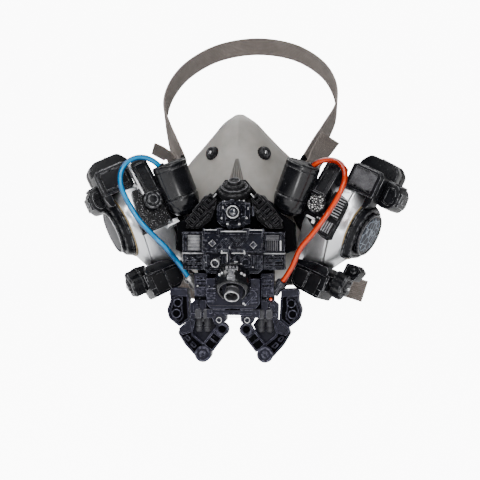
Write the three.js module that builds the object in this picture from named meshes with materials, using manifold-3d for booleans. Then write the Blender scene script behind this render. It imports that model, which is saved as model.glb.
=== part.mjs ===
// A worn half mask with two filter drums, hoses, jaw arms and two straps.
// Millimetres. Origin at the middle of the face opening, -Y to the front, +Z up, +X the wearer's left.
import * as THREE from "three";
import { mergeVertices } from "three/addons/utils/BufferGeometryUtils.js";
import Module from "manifold-3d";

const wasm = await Module();
wasm.setup();

// driving sizes
const GAP = 0.3; // clearance between neighbouring pieces
const WALL = 2.5; // facepiece wall
const DECK = -72; // front of the carrier, where the front blocks start
const DRUM_AT = [92.5, -48, -11]; // middle of the drum rim on the left side
const DRUM_DIP = 25; // degrees the drum axis falls towards the outside
const DRUM_TURN = 22; // degrees the drum axis turns to the front
const RIM_AT = 1.5; // rim, shoulder and inner end of the housing along the drum axis
const SHOULDER_AT = -7;
const HOUSING_END = -34;
const RIM_R = 25;
const PAD_TILT = 12; // degrees the upper front face of the housing leans back
const NECK_R = 13;
const NECK_END = -55; // inner end of the neck along the drum axis
const BEZEL_R = 23;
const DISC_R = 17.2;
const CAN_R = 13.5;
const CAN_AT = [-46.1, 8.7, 36.4]; // canister middle and axis in the drum frame
const CAN_WAY = [-0.034, 0.987, 0.143];
const TUBE_R = 2.1;
const DRUM_SIDES = 20;
const HOUSING_SIDES = 24;
const FACE_ROWS = 13;
const FACE_COLS = 18;
const STRAP_WIDE = 18;
const STRAP_THICK = 1.6;
const TURN_R = 3.4; // middle line of a strap where it folds round its bar

// finishes
const finish = (color, roughness, metalness) => new THREE.MeshStandardMaterial({ color, roughness, metalness });
const silicone = finish(0x96928c, 0.6, 0);
const gloss = finish(0x141519, 0.22, 0);
const matte = finish(0x1b1c1f, 0.55, 0);
const silver = finish(0xc9cacd, 0.28, 0.75);
const steel = finish(0xb9bbc0, 0.3, 0.9);
const face = finish(0x8d949c, 0.2, 0.2);
const glass = finish(0x20242c, 0.08, 0);
const webbing = finish(0x7c736d, 0.85, 0);
const blue = finish(0x1f86d6, 0.2, 0);
const orange = finish(0xe0481a, 0.2, 0);

// a closed geometry as a solid for joining and cutting
function solid(geometry) {
  const loose = geometry.index ? geometry.toNonIndexed() : geometry;
  const bare = new THREE.BufferGeometry();
  bare.setAttribute("position", loose.getAttribute("position"));
  const merged = mergeVertices(bare, 1e-4);
  const corners = merged.index.array;
  const kept = [];
  for (let i = 0; i < corners.length; i += 3) {
    const [a, b, c] = corners.slice(i, i + 3);
    if (a !== b && b !== c && c !== a) kept.push(a, b, c);
  }
  const vertProperties = new Float32Array(merged.getAttribute("position").array);
  return new wasm.Manifold(new wasm.Mesh({ numProp: 3, vertProperties, triVerts: new Uint32Array(kept) }));
}

function geometryOf(body) {
  const { vertProperties, triVerts } = body.getMesh();
  const geometry = new THREE.BufferGeometry();
  geometry.setAttribute("position", new THREE.BufferAttribute(new Float32Array(vertProperties), 3));
  geometry.setIndex(new THREE.BufferAttribute(new Uint32Array(triVerts), 1));
  geometry.computeVertexNormals();
  return geometry;
}

const cut = (body, ...tools) => tools.reduce((left, tool) => left.subtract(tool), body);
const join = (...bodies) => bodies.reduce((sum, body) => sum.add(body));

// a named piece in its group
function piece(group, name, body, material) {
  const mesh = new THREE.Mesh(geometryOf(body), material);
  mesh.name = name;
  group.add(mesh);
  return mesh;
}

// an outline in x and z, from backY forward to frontY, with a small chamfer
function slab(outline, backY, frontY, chamfer = 0.8) {
  const shape = new THREE.Shape(outline.map(([x, z]) => new THREE.Vector2(x, z)));
  const long = backY - frontY - 2 * chamfer;
  const bevel = { bevelEnabled: chamfer > 0, bevelSize: chamfer, bevelThickness: chamfer, bevelSegments: 1 };
  const geometry = new THREE.ExtrudeGeometry(shape, { depth: long, ...bevel, bevelOffset: -chamfer });
  geometry.rotateX(Math.PI / 2);
  geometry.translate(0, backY - chamfer, 0);
  return solid(geometry);
}

// the same outline given for one half only, right then mirrored left
const mirrored = (half) => [...half, ...half.map(([x, z]) => [-x, z]).reverse()];
const box = (x0, x1, z0, z1) => [[x0, z0], [x1, z0], [x1, z1], [x0, z1]];
const ring = (x, z, r, count, turn = 0) =>
  Array.from({ length: count }, (_, i) => {
    const angle = (i / count) * 2 * Math.PI + turn;
    return [x + r * Math.cos(angle), z + r * Math.sin(angle)];
  });

// a turned solid from radius and height pairs, axis along +Y
function turned(profile, sides) {
  const spots = profile.map(([r, h]) => new THREE.Vector2(r, h));
  const body = solid(new THREE.LatheGeometry(spots, sides));
  return body.volume() > 0 ? body : solid(new THREE.LatheGeometry(spots.reverse(), sides));
}

// a straight round bar between two heights on +Y
const rod = (r, h0, h1, sides) => turned([[0, h0], [r, h0], [r, h1], [0, h1]], sides);

// a solid laid with its own +Y along a direction, from a point
function aim(body, from, along) {
  const turn = new THREE.Quaternion();
  turn.setFromUnitVectors(new THREE.Vector3(0, 1, 0), new THREE.Vector3(...along).normalize());
  const place = new THREE.Matrix4().compose(new THREE.Vector3(...from), turn, new THREE.Vector3(1, 1, 1));
  return body.transform(place.elements);
}

const FRONT = [0, -1, 0];

// a sheet between two grids of points with the same rows and columns
function sheet(outer, inner) {
  const rows = outer.length;
  const cols = outer[0].length;
  const spots = [];
  const quad = (a, b, c, d) => spots.push(...a, ...b, ...c, ...a, ...c, ...d);
  for (let i = 0; i + 1 < rows; i += 1) {
    for (let j = 0; j + 1 < cols; j += 1) {
      quad(outer[i][j], outer[i + 1][j], outer[i + 1][j + 1], outer[i][j + 1]);
      quad(inner[i][j], inner[i][j + 1], inner[i + 1][j + 1], inner[i + 1][j]);
    }
    quad(outer[i + 1][0], outer[i][0], inner[i][0], inner[i + 1][0]);
    const e = cols - 1;
    quad(outer[i][e], outer[i + 1][e], inner[i + 1][e], inner[i][e]);
  }
  for (let j = 0; j + 1 < cols; j += 1) {
    const e = rows - 1;
    quad(outer[0][j], outer[0][j + 1], inner[0][j + 1], inner[0][j]);
    quad(outer[e][j + 1], outer[e][j], inner[e][j], inner[e][j + 1]);
  }
  const geometry = new THREE.BufferGeometry();
  geometry.setAttribute("position", new THREE.BufferAttribute(new Float32Array(spots), 3));
  const body = solid(geometry);
  if (body.volume() > 0) return body;
  for (let i = 0; i < spots.length; i += 9) {
    const second = spots.slice(i + 3, i + 6);
    for (let k = 0; k < 3; k += 1) {
      spots[i + 3 + k] = spots[i + 6 + k];
      spots[i + 6 + k] = second[k];
    }
  }
  geometry.setAttribute("position", new THREE.BufferAttribute(new Float32Array(spots), 3));
  return solid(geometry);
}

// a closed skin over rings of points, with a fan over each end
function skin(lines) {
  const spots = [];
  const middle = (line) => line[0].map((_, c) => line.reduce((sum, p) => sum + p[c], 0) / line.length);
  const ends = [lines[0], lines.at(-1)].map(middle);
  const count = lines[0].length;
  for (let k = 0; k < count; k += 1) {
    const n = (k + 1) % count;
    for (let i = 0; i + 1 < lines.length; i += 1) {
      const [a, b, c, d] = [lines[i][k], lines[i][n], lines[i + 1][n], lines[i + 1][k]];
      spots.push(...a, ...b, ...c, ...a, ...c, ...d);
    }
    spots.push(...ends[0], ...lines[0][n], ...lines[0][k], ...ends[1], ...lines.at(-1)[k], ...lines.at(-1)[n]);
  }
  const geometry = new THREE.BufferGeometry();
  geometry.setAttribute("position", new THREE.BufferAttribute(new Float32Array(spots), 3));
  const body = solid(geometry);
  if (body.volume() > 0) return body;
  return solid(geometry.applyMatrix4(new THREE.Matrix4().makeScale(-1, 1, 1))).mirror([1, 0, 0]);
}

// facepiece: each row is a half ellipse from the seal edge to the front ridge
const faceRows = [
  // edgeX, edgeY, edgeZ, ridgeY, ridgeZ, power
  [4, -33, 78, -34, 79, 1.0],
  [13, -30, 72, -41, 73.5, 1.0],
  [21, -26, 63.5, -47, 64.5, 1.1],
  [31, -20, 53, -54, 52, 1.15],
  [43, -11, 41, -60, 37, 1.1],
  [54, -3, 27, -64.5, 20, 1.0],
  [60, 3, 10, -66, 0, 0.9],
  [60, 3, -12, -63, -20, 0.85],
  [53, -2, -32, -55, -38, 0.85],
  [38, -10, -46, -44, -51, 0.9],
  [24, -17, -53, -33, -57, 1.0],
];

// smooth value of each column between the rows
function faceRow(t) {
  const last = faceRows.length - 1;
  const at = Math.min(Math.max(t, 0), 1) * last;
  const i = Math.min(Math.floor(at), last - 1);
  const f = at - i;
  const row = (k) => faceRows[Math.min(Math.max(k, 0), last)];
  return row(0).map((_, c) => {
    const [p, q, r, s] = [row(i - 1)[c], row(i)[c], row(i + 1)[c], row(i + 2)[c]];
    return q + 0.5 * f * (r - p + f * (2 * p - 5 * q + 4 * r - s + f * (3 * (q - r) + s - p)));
  });
}

// a point on the facepiece, t down from the nose and s across from -1 to 1
function faceSpot(t, s) {
  const [edgeX, edgeY, edgeZ, ridgeY, ridgeZ, power] = faceRow(t);
  const angle = (s * Math.PI) / 2;
  const swell = Math.max(Math.cos(angle), 0) ** power;
  const x = edgeX * Math.sin(angle);
  return new THREE.Vector3(x, edgeY + (ridgeY - edgeY) * swell, edgeZ + (ridgeZ - edgeZ) * swell);
}

// a point moved off the surface along its normal
function faceOff(t, s, off) {
  const e = 0.004;
  const t0 = Math.max(t - e, 0);
  const t1 = Math.min(t + e, 1);
  const s0 = Math.max(s - e, -0.98);
  const s1 = Math.min(s + e, 0.98);
  const sc = Math.min(Math.max(s, -0.98), 0.98);
  const down = faceSpot(t1, sc).sub(faceSpot(t0, sc));
  const over = faceSpot(t, s1).sub(faceSpot(t, s0));
  const normal = over.cross(down).normalize();
  if (normal.dot(faceSpot(t, s).sub(new THREE.Vector3(0, 10, 0))) < 0) normal.negate();
  return faceSpot(t, s).addScaledVector(normal, off).toArray();
}

const faceGrid = (rows, cols, off, t0 = 0, t1 = 1, s0 = -1, s1 = 1) =>
  Array.from({ length: rows + 1 }, (_, i) =>
    Array.from({ length: cols + 1 }, (_, j) => faceOff(t0 + ((t1 - t0) * i) / rows, s0 + ((s1 - s0) * j) / cols, off)),
  );

// the facepiece filled to the back and grown, for seating pieces on it
function faceForm(off) {
  const outer = faceGrid(FACE_ROWS, FACE_COLS, off);
  return sheet(outer, outer.map((line) => line.map(([x, , z]) => [x, 40, z])));
}
const seat = faceForm(GAP);

// the frame of a drum: x along its axis outward, y up its flange, z to the front
const rad = THREE.MathUtils.degToRad;
const axisA = new THREE.Vector3(
  Math.cos(rad(DRUM_TURN)) * Math.cos(rad(DRUM_DIP)),
  -Math.sin(rad(DRUM_TURN)),
  -Math.cos(rad(DRUM_TURN)) * Math.sin(rad(DRUM_DIP)),
);
const axisU = new THREE.Vector3(Math.sin(rad(DRUM_DIP)), 0, Math.cos(rad(DRUM_DIP)));
const axisV = axisA.clone().cross(axisU);
const drumPlace = new THREE.Matrix4().makeBasis(axisA, axisU, axisV).setPosition(...DRUM_AT);
const drumBack = drumPlace.clone().invert();
const seatByDrum = seat.transform(drumBack.elements);

// solids in the drum frame: turned about its axis, or an outline in x and y raised along z
const drumTurned = (profile, sides) => aim(turned(profile, sides), [0, 0, 0], [1, 0, 0]);
function raised(outline, z0, z1, chamfer = 0.8) {
  const shape = new THREE.Shape(outline.map(([x, y]) => new THREE.Vector2(x, y)));
  const bevel = { bevelEnabled: chamfer > 0, bevelSize: chamfer, bevelThickness: chamfer, bevelSegments: 1 };
  const settings = { depth: z1 - z0 - 2 * chamfer, ...bevel, bevelOffset: -chamfer };
  const geometry = new THREE.ExtrudeGeometry(shape, settings);
  geometry.translate(0, 0, z0 + chamfer);
  return solid(geometry);
}

// an outline raised square to the upper front face of the housing
const padded = (outline, z0, z1, chamfer) => raised(outline, z0, z1, chamfer).rotate([-PAD_TILT, 0, 0]);

const model = new THREE.Group();
const left = new THREE.Group();
const right = new THREE.Group();
right.scale.x = -1;
model.add(left, right);
const sides = [
  { tag: "left", group: left },
  { tag: "right", group: right },
];

// facepiece with its ports and the flutes of the nose ridge
const shellBody = sheet(faceGrid(FACE_ROWS, FACE_COLS, 0), faceGrid(FACE_ROWS, FACE_COLS, -WALL));
const port = aim(rod(NECK_R + GAP, NECK_END - 4, -30, DRUM_SIDES), [0, 0, 0], [1, 0, 0]).transform(drumPlace.elements);
const flip = new THREE.Matrix4().makeScale(-1, 1, 1).elements;
// top and foot of the flutes: height, front, half width of one flute, spacing
const fluteTop = { z: 41, y: -60.2, half: 0.4, pitch: 1.1 };
const fluteFoot = { z: 20, y: -66.2, half: 1, pitch: 2.7 };
function flute(i, grow = 0) {
  const line = ({ z, y, half, pitch }, deep) =>
    [-1, 1].map((k) => [i * pitch + k * (half + grow), y - grow + deep, z]);
  return sheet([line(fluteTop, 0), line(fluteFoot, 0)], [line(fluteTop, 3), line(fluteFoot, 3)]);
}
const fluteSet = [-2, -1, 0, 1, 2];
const ridge = join(...fluteSet.map((i) => flute(i)));
piece(model, "facepiece", join(cut(shellBody, port, port.transform(flip)), ridge), silicone);

// studs on the nose
for (const { tag, group } of sides) {
  const spot = [19.5, -47.5, 47.5];
  const stud = aim(turned([[0, -6], [5.4, -6], [5.4, 3], [4.5, 4.4], [2.6, 4.4], [2.6, 3.4], [0, 3.4]], 10), spot, [0.5, -0.8, 0.3]);
  piece(group, `stud_${tag}`, cut(stud, seat), gloss);
}

// housing: faces round the drum axis, each by its angle up from the front and its distance at the shoulder and inner end
const housingFaces = [
  [PAD_TILT, 25.5, 24.8], [-30, 30.9, 30], [-80, 31.5, 38], [-130, 29, 27], [180, 27, 22], [130, 28.5, 24], [75, 30.5, 27],
];
// distance from the axis: a high power mean of the faces, so their corners come out rounded
function housingReach(angle, inward) {
  const share = housingFaces.reduce((sum, [turn, near, far]) => {
    const lean = Math.cos(angle - rad(turn));
    return lean > 0 ? sum + (lean / (near + (far - near) * inward)) ** 14 : sum;
  }, 0);
  return share ** (-1 / 14);
}
// rings from the rim to the inner end: place along the axis, share of the faces' form against the round rim, size
const housingRings = [
  [RIM_AT, 0, 1], [0.7, 0.06, 1], [SHOULDER_AT + 1.5, 0.94, 1], [SHOULDER_AT, 1, 1], [SHOULDER_AT - 1.5, 1, 0.985], [-31, 1, 1], [HOUSING_END, 1, 0.9],
];
function housingForm(grow) {
  const last = housingRings.length - 1;
  const lines = housingRings.map(([along, form, size], i) => {
    const inward = Math.min(Math.max((along - SHOULDER_AT) / (HOUSING_END - SHOULDER_AT), 0), 1);
    const place = along + (i === 0 ? grow : i === last ? -grow : 0);
    return Array.from({ length: HOUSING_SIDES }, (_, k) => {
      const angle = (k / HOUSING_SIDES) * 2 * Math.PI;
      const reach = RIM_R + (housingReach(angle, inward) * size - RIM_R) * form + grow;
      return [place, reach * Math.sin(angle), reach * Math.cos(angle)];
    });
  });
  return skin(lines);
}
// rooms that the housing, its canister and its neck collar need, in the drum frame
const housingRoom = housingForm(GAP);
const canProfile = [
  // radius, distance up the canister from its middle
  [0, -21.5], [6.6, -20.6], [11, -17], [13.2, -11], [CAN_R, -7], [12.8, -6.2], [CAN_R, -5.4], [CAN_R, 18.8], [12, 20.6], [0, 20.6],
];
const canSides = 16;
// slanted port for the hose in the top of the canister, wider at its mouth
const portProfile = [[0, -4.5], [2.6, -4.5], [3.7, 1.5], [3.7, 8], [0, 8]];
const hosePort = aim(turned(portProfile, 12), [-40.5, 29.7, 36.85], [0.3474, 0.9314, 0.0753]);
const canister = cut(aim(turned(canProfile, canSides), CAN_AT, CAN_WAY), hosePort);
const canRoom = aim(turned(canProfile.map(([r, h]) => [r > 0 ? r + GAP : 0, h * 1.015]), canSides), CAN_AT, CAN_WAY);
const collarStart = HOUSING_END - GAP;
const collarRing = drumTurned([[0, collarStart + GAP], [22 + GAP, collarStart + GAP], [22 + GAP, -62], [0, -62]], DRUM_SIDES);

// carrier
const carrierHalf = [[6, 27], [13, 18.5], [28, 9.5], [34, 1], [45, -6], [46, -26], [31, -32], [29, -34], [29, -70], [20, -76]];
const drumRooms = [housingRoom, canRoom, collarRing].map((body) => body.transform(drumPlace.elements));
const carrierBody = cut(slab(mirrored(carrierHalf), -52, DECK, 1), seat, ...fluteSet.map((i) => flute(i, GAP)));
const carrier = cut(carrierBody, ...drumRooms, ...drumRooms.map((body) => body.transform(flip)));
piece(model, "carrier", carrier, matte);
const blockBack = DECK - GAP;

// turret: a stepped dome leaning forward, flat where it meets the carrier
const turretSteps = [[0, 0], [12.4, 0], [12.4, 1.8], [10.2, 3], [10.2, 4], [7.4, 5.4], [7.4, 6.4], [4.8, 7.4], [4.4, 8.8], [0, 9.2]];
const behind = slab(box(-40, 40, -20, 60), 0, blockBack, 0);
const lensTop = slab(box(-13, 13, -9, 11.9), 0, -87.3, 0);
piece(model, "turret", cut(aim(turned(turretSteps, 16), [0, -77, 19], [0, -0.45, 0.89]), behind, lensTop), gloss);

// lens housing with its ring, and the lens
const lensAt = [0, 0, 3];
const octagon = [[-8, -8.6], [8, -8.6], [12.5, -4], [12.5, 7.5], [8, 11.6], [-8, 11.6], [-12.5, 7.5], [-12.5, -4]];
const lensRing = aim(rod(6, -blockBack + 8, 92, 16), lensAt, FRONT);
const lensBore = aim(rod(3.6, 88, 100, 16), lensAt, FRONT);
piece(model, "lens_housing", cut(join(slab(octagon, blockBack, -87, 1.6), lensRing), lensBore), gloss);
piece(model, "lens", aim(turned([[0, 88.3], [3.3, 88.3], [3.3, 89.4], [2, 90.3], [0, 90.7]], 12), lensAt, FRONT), glass);

// bars, blocks and plates of the front, listed by their outlines
const barHalf = [[23, -26], [23, -12], [21.5, -10.6], [13.6, -10.6], [13, -9.2], [8, -9.2], [7.4, -10.6], [4, -10.6]];
const screwHole = (x, z) => aim(rod(2, 90.2, 96, 12), [x, 0, z], FRONT);
piece(model, "upper_bar", cut(slab(mirrored(barHalf), blockBack, -92), screwHole(15.4, -19), screwHole(-15.4, -19)), gloss);
// axis of the mouth collar and nozzle, leaning down, and the room they need
const mouthAt = [0, -79, -41.5];
const mouthWay = [0, -0.73, -0.68];
const mouthRoom = aim(rod(12.4 + GAP, -20, 30, 20), mouthAt, mouthWay);
const midPort = aim(rod(3.4, 85, 96, 14), [-13, 0, -34.6], FRONT);
const midHalf = [[22.2, -40], [22.2, -26.4], [3, -26.4]];
piece(model, "mid_block", cut(slab(mirrored([[19, -43.2], ...midHalf]), blockBack, -89), midPort, mouthRoom), matte);

// mouth collar and nozzle
const collarProfile = [[0, -6], [12.4, -6], [12.4, 15], [11.9, 20.4], [10.8, 22], [9.4, 22], [8.8, 20.6], [8.8, 8], [0, 8]];
piece(model, "collar", cut(aim(turned(collarProfile, 20), mouthAt, mouthWay), behind.translate([0, 0, -70]), behind), gloss);
const nozzleProfile = [[0, 8.3], [4.6, 8.3], [4.6, 19], [5.6, 20], [5.6, 27], [4.5, 27], [4.3, 16], [0, 16]];
piece(model, "nozzle", aim(turned(nozzleProfile, 16), mouthAt, mouthWay), steel);
const lowerHalf = [[17, -69.6], [20, -66], [20, -47], [11, -47]];
piece(model, "lower_plate", cut(slab(mirrored(lowerHalf), blockBack, -90), mouthRoom), gloss);
const chinHalf = [[5.6, -73], [5.6, -79], [8, -81.4], [14, -81.4], [16, -76.6], [20, -76.6], [20, -70]];
const eyelet = (x) => aim(rod(1.5, 60, 100, 10), [x, 0, -78.6], FRONT);
const chinNotch = slab(box(-9, 9, -71.4, -60), -84, -100, 0);
piece(model, "chin_bar", cut(slab(mirrored(chinHalf), blockBack, -88), eyelet(10.6), eyelet(-10.6), chinNotch), gloss);

// side view comb: a block whose front is cut into fins, raised along x
function comb(x0, x1, z0, z1, frontY, count, depth) {
  const body = slab(box(x0, x1, z0, z1), blockBack, frontY, 0.6);
  const pitch = (z1 - z0 - 2) / count;
  const slots = Array.from({ length: count }, (_, i) => {
    const low = z0 + 1 + i * pitch + pitch * 0.3;
    return slab(box(x0 + 2, x1 + 1, low, low + pitch * 0.45), frontY + depth, frontY - 1, 0);
  });
  return cut(body, ...slots);
}

// wings, finned and slotted ends, posts, pistons and jaw arms, the same on both sides
const wing = [[14, 6.6], [17.6, -3.4], [25.7, -10], [37.2, -9.6], [34.2, -0.4], [28, 8.2], [22.6, 15.2], [16.6, 16.6], [13, 12.4]];
const post = [[20.4, -77], [33.6, -77], [33.6, -67], [30, -64], [30, -43.6], [20.4, -43.6]];
const armUpper = [[34.1, -78.6], [41.7, -84.6], [50, -78], [51.5, -71.5], [48.7, -64], [49.4, -58], [47.6, -55.5], [36.5, -56], [35, -62]];
const armLower = [[33.6, -79.4], [41.8, -85.9], [43, -89], [38, -97.5], [29.4, -107]];
const elbow = [23.6, -104.7];
const knuckle = [9.2, -86];
const bossSides = 12;
const bossBar = (r, y0, y1) => aim(rod(r, -y0, -y1, bossSides), [elbow[0], 0, elbow[1]], FRONT);
const linkWay = new THREE.Vector2(elbow[0] - knuckle[0], elbow[1] - knuckle[1]).normalize();
const linkSide = new THREE.Vector2(-linkWay.y, linkWay.x);
const linkSpot = (along, across) => [
  knuckle[0] + linkWay.x * along + linkSide.x * across,
  knuckle[1] + linkWay.y * along + linkSide.y * across,
];
for (const { tag, group } of sides) {
  piece(group, `wing_${tag}`, slab(wing, blockBack, -81, 2), gloss);
  piece(group, `fin_block_${tag}`, comb(23.4, 38.6, -27.6, -12.6, -86, 5, 4), gloss);
  piece(group, `slot_box_${tag}`, comb(22.6, 38.6, -40.6, -28.2, -84, 3, 3), matte);
  piece(group, `post_${tag}`, slab(post, blockBack, -82), gloss);
  const cylinder = (x) => turned([[0, -88], [2.2, -88], [2.7, -87], [2.7, -77.3], [0, -77.3]], 10).rotate([90, 0, 0]).translate([x, -77.5, 0]);
  const bridge = slab(box(20.5, 27, -80.5, -77.3), -76, -79, 0);
  piece(group, `piston_pair_${tag}`, join(cylinder(20.6), cylinder(26.9), bridge), steel);
  const dents = [[42.6, -65.5, 3], [44, -75, 3.4]].map(([x, z, r]) => aim(rod(r, 77.6, 84, 12), [x, 0, z], FRONT));
  piece(group, `arm_upper_${tag}`, cut(slab(armUpper, -64, -79.6, 1.6), ...dents), gloss);
  const limb = slab([...armLower, [20.6, -99.4], [31.2, -90.4]], -70, -80, 1.2);
  const web = slab([[22.4, -81], [34, -80.2], [33, -92], [24.6, -96.4]], -69, -73.6, 0.6);
  piece(group, `arm_lower_${tag}`, cut(join(limb, web, bossBar(6.2, -69, -84)), bossBar(2.4, -82.6, -90)), gloss);
  const bar = slab([linkSpot(0, -4.8), linkSpot(25, -4.8), linkSpot(25, 4.8), linkSpot(0, 4.8)], -74, -80, 0.6);
  const head = aim(rod(5.2, 73.9, 81.4, 14), [knuckle[0], 0, knuckle[1]], FRONT);
  const windows = [6.6, 11.8].map((s) => slab([linkSpot(s, -2.6), linkSpot(s + 4, -2.6), linkSpot(s + 4, 2.6), linkSpot(s, 2.6)], -77.6, -90, 0));
  const chinRoom = slab(mirrored(chinHalf.map(([x, z]) => [x + 0.4 * Math.sign(x - 10), z - GAP])), -60, -95, 0);
  piece(group, `link_${tag}`, cut(join(bar, head), ...windows, bossBar(6.2 + GAP, -60, -90), limb.translate([-GAP, 0, GAP]), chinRoom), gloss);
}

// drums with their clamps, canisters, bars and modules, in the drum frame
const neckProfile = [[0, HOUSING_END + 4], [NECK_R, HOUSING_END + 4], [NECK_R, NECK_END], [10, NECK_END], [10, NECK_END + 8], [0, NECK_END + 8]];
const bezelProfile = [[14, RIM_AT + GAP], [BEZEL_R, RIM_AT + GAP], [BEZEL_R, 3.4], [19.8, 8.5], [14, 8.5]];
const bezelRoom = drumTurned([[0, 0], [BEZEL_R + GAP, 0], [BEZEL_R + GAP, 3.6], [20.2, 8.8], [17.6, 8.8], [17.6, 12.4], [0, 12.4]], DRUM_SIDES);
const discProfile = [[0, 8.8], [DISC_R, 8.8], [DISC_R, 11], [15, 11.6], [0, 12]];
const topFront = [[-18, 26], [-18, 44.5], [-16, 46.5], [5, 46.5], [7.5, 44], [7.5, 26]];
const topArm = [[2.2, 17], [2.2, 30], [8, 30], [8.6, 24], [6, 17]];
const topLug = [[3, 25], [3, 42], [8, 44], [17, 43], [20, 38], [20.5, 30], [17, 24], [9, 22]];
const capOutline = [[-25, 36], [-25, 50], [-19, 57.5], [0, 57.5], [8.5, 49], [8.5, 45], [2.5, 45], [2.5, 36]];
const lowFront = [[-26, -36], [-26, -42], [-20, -60], [1.5, -60.5], [3, -50], [1.5, -33], [-1, -29], [-12, -29]];
const sideBar = box(-35, -21.5, 3, 36);
const knobAt = [-24.8, 1, 7.2];
const moduleOutline = {
  left: [[-9.4, 12.5], [-5.6, 9.5], [-4.4, -9], [-4.8, -20], [-9, -22], [-18.6, -19.8], [-33, -12], [-33, 15], [-12, 15]],
  right: [[-14, 15.5], [-7, -18.5], [-29, -18.5], [-33, -10], [-33, 15.5]],
};
for (const { tag, group } of sides) {
  const drum = new THREE.Group();
  drum.applyMatrix4(drumPlace);
  group.add(drum);
  piece(drum, `housing_${tag}`, join(housingForm(0), drumTurned(neckProfile, DRUM_SIDES)), silver);
  piece(drum, `bezel_${tag}`, drumTurned([...bezelProfile, bezelProfile[0]], DRUM_SIDES), gloss);
  piece(drum, `disc_${tag}`, drumTurned(discProfile, DRUM_SIDES), face);
  piece(drum, `canister_${tag}`, cut(canister, seatByDrum), gloss);
  const collar = drumTurned([[NECK_R + GAP, collarStart], [22, collarStart], [22, -60], [NECK_R + GAP, -60], [NECK_R + GAP, collarStart]], DRUM_SIDES);
  piece(drum, `neck_collar_${tag}`, cut(collar, seatByDrum, canRoom), matte);

  const panel = raised(box(-15, 4.5, 30.5, 43.5), 18.8, 24, 0);
  const clampTop = join(cut(raised(topFront, -6, 20, 1.2), panel), raised(topArm, 8, 19, 0.8), raised(topLug, -20, 2, 1.4));
  piece(drum, `clamp_top_${tag}`, cut(clampTop, housingRoom, bezelRoom), gloss);
  const lugRoom = raised([[2.7, 20], [2.7, 42.2], [8, 44.3], [17, 43.3], [21, 38], [21, 20]], -21, 3, 0);
  piece(drum, `clamp_cap_${tag}`, cut(raised(capOutline, -26, -6.3, 1.6), lugRoom, housingRoom), gloss);
  const lowPanels = [raised(box(-21, -13, -56.5, -42), 17.6, 24, 0), raised(box(-10.5, -2.5, -57, -40), 17.6, 24, 0)];
  piece(drum, `clamp_low_${tag}`, cut(raised(lowFront, -6, 19, 1.2), ...lowPanels, housingRoom), gloss);
  const knob = aim(turned([[0, 3.3], [9, 3.3], [10, 4.4], [10, 14], [8.4, 15.8], [0, 15.8]], 8), [0, -44, 4], [1, 0, 0]);
  const tab = raised([[5, -37], [5, -26.5], [14, -25], [19, -28], [16.5, -37]], -9, 3, 0.8);
  piece(drum, `clamp_knob_${tag}`, cut(join(knob, tab), housingRoom, bezelRoom), gloss);

  const grille = padded(ring(knobAt[0], knobAt[1], knobAt[2], 14), 22, 38.5, 1);
  const barBody = join(padded(sideBar, 22, 36, 1.6), grille);
  piece(drum, `side_bar_${tag}`, cut(barBody, housingRoom, canRoom), gloss);
  const barRoom = join(padded(box(-36, -21.5 + GAP, 3 - GAP, 37), 20, 40, 0), padded(ring(knobAt[0], knobAt[1], knobAt[2] + 1.5 * GAP, 14), 20, 40, 0));
  piece(drum, `module_${tag}`, cut(padded(moduleOutline[tag], 20, 31.5, 1), housingRoom, canRoom, barRoom), matte);
}

// hoses: middle lines from the port in their canister to their fitting
const hoseWay = {
  orange: [
    [55.72, -66.16, 34.57], [59.71, -67.36, 38.25], [64.3, -68.96, 40.92], [69.24, -71.16, 42.11], [74.05, -73.91, 41.87],
    [78.25, -77.14, 40.23], [81.37, -80.65, 37.29], [83.16, -84.07, 33.32], [83.47, -87.01, 28.63], [82.47, -89.03, 23.57],
    [80.44, -89.87, 18.47], [77.89, -90.01, 13.53], [75.12, -89.89, 8.71], [72.14, -89.58, 4.02], [68.99, -89.12, -0.54],
    [65.76, -88.51, -5.03], [62.45, -87.78, -9.45], [59.06, -86.91, -13.77], [55.51, -85.92, -17.94], [51.98, -84.8, -22.09],
    [49.08, -83.53, -26.66], [46.92, -82.18, -31.6], [44.75, -80.88, -36.56], [42.15, -79.68, -41.33], [39.22, -78.57, -45.92],
    [36.1, -77.5, -50.4],
  ],
  blue: [
    [-55.72, -66.16, 34.57], [-59.68, -67.46, 38.58], [-64.02, -69.14, 42], [-68.91, -71.35, 44.11], [-74.03, -73.96, 44.38],
    [-78.84, -76.71, 42.79], [-82.79, -79.31, 39.51], [-85.43, -81.55, 34.9], [-86.5, -83.16, 29.47], [-85.98, -83.87, 23.77],
    [-84.33, -83.7, 18.24], [-82.06, -82.9, 12.98], [-79.4, -82.35, 7.87], [-76.48, -82.34, 2.88], [-73.24, -82.48, -1.91],
    [-69.58, -82.86, -6.38], [-65.56, -83.69, -10.45], [-61.46, -84.77, -14.4], [-57.36, -85.49, -18.4], [-53.19, -84.69, -22.3],
    [-49.95, -82.35, -26.45], [-47.58, -78.55, -30.08], [-45.1, -74.89, -33.78], [-42.23, -72.4, -38.13], [-39.24, -70.53, -42.72],
    [-36.2, -69, -47.4],
  ],
};
function hose(points) {
  const way = new THREE.CatmullRomCurve3(points.map((p) => new THREE.Vector3(...p)));
  const circle = new THREE.Shape(ring(0, 0, TUBE_R, 8).map(([x, y]) => new THREE.Vector2(x, y)));
  return solid(new THREE.ExtrudeGeometry(circle, { steps: 38, extrudePath: way, bevelEnabled: false }));
}
piece(model, "tube_orange", hose(hoseWay.orange), orange);
piece(model, "tube_blue", hose(hoseWay.blue), blue);

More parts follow.
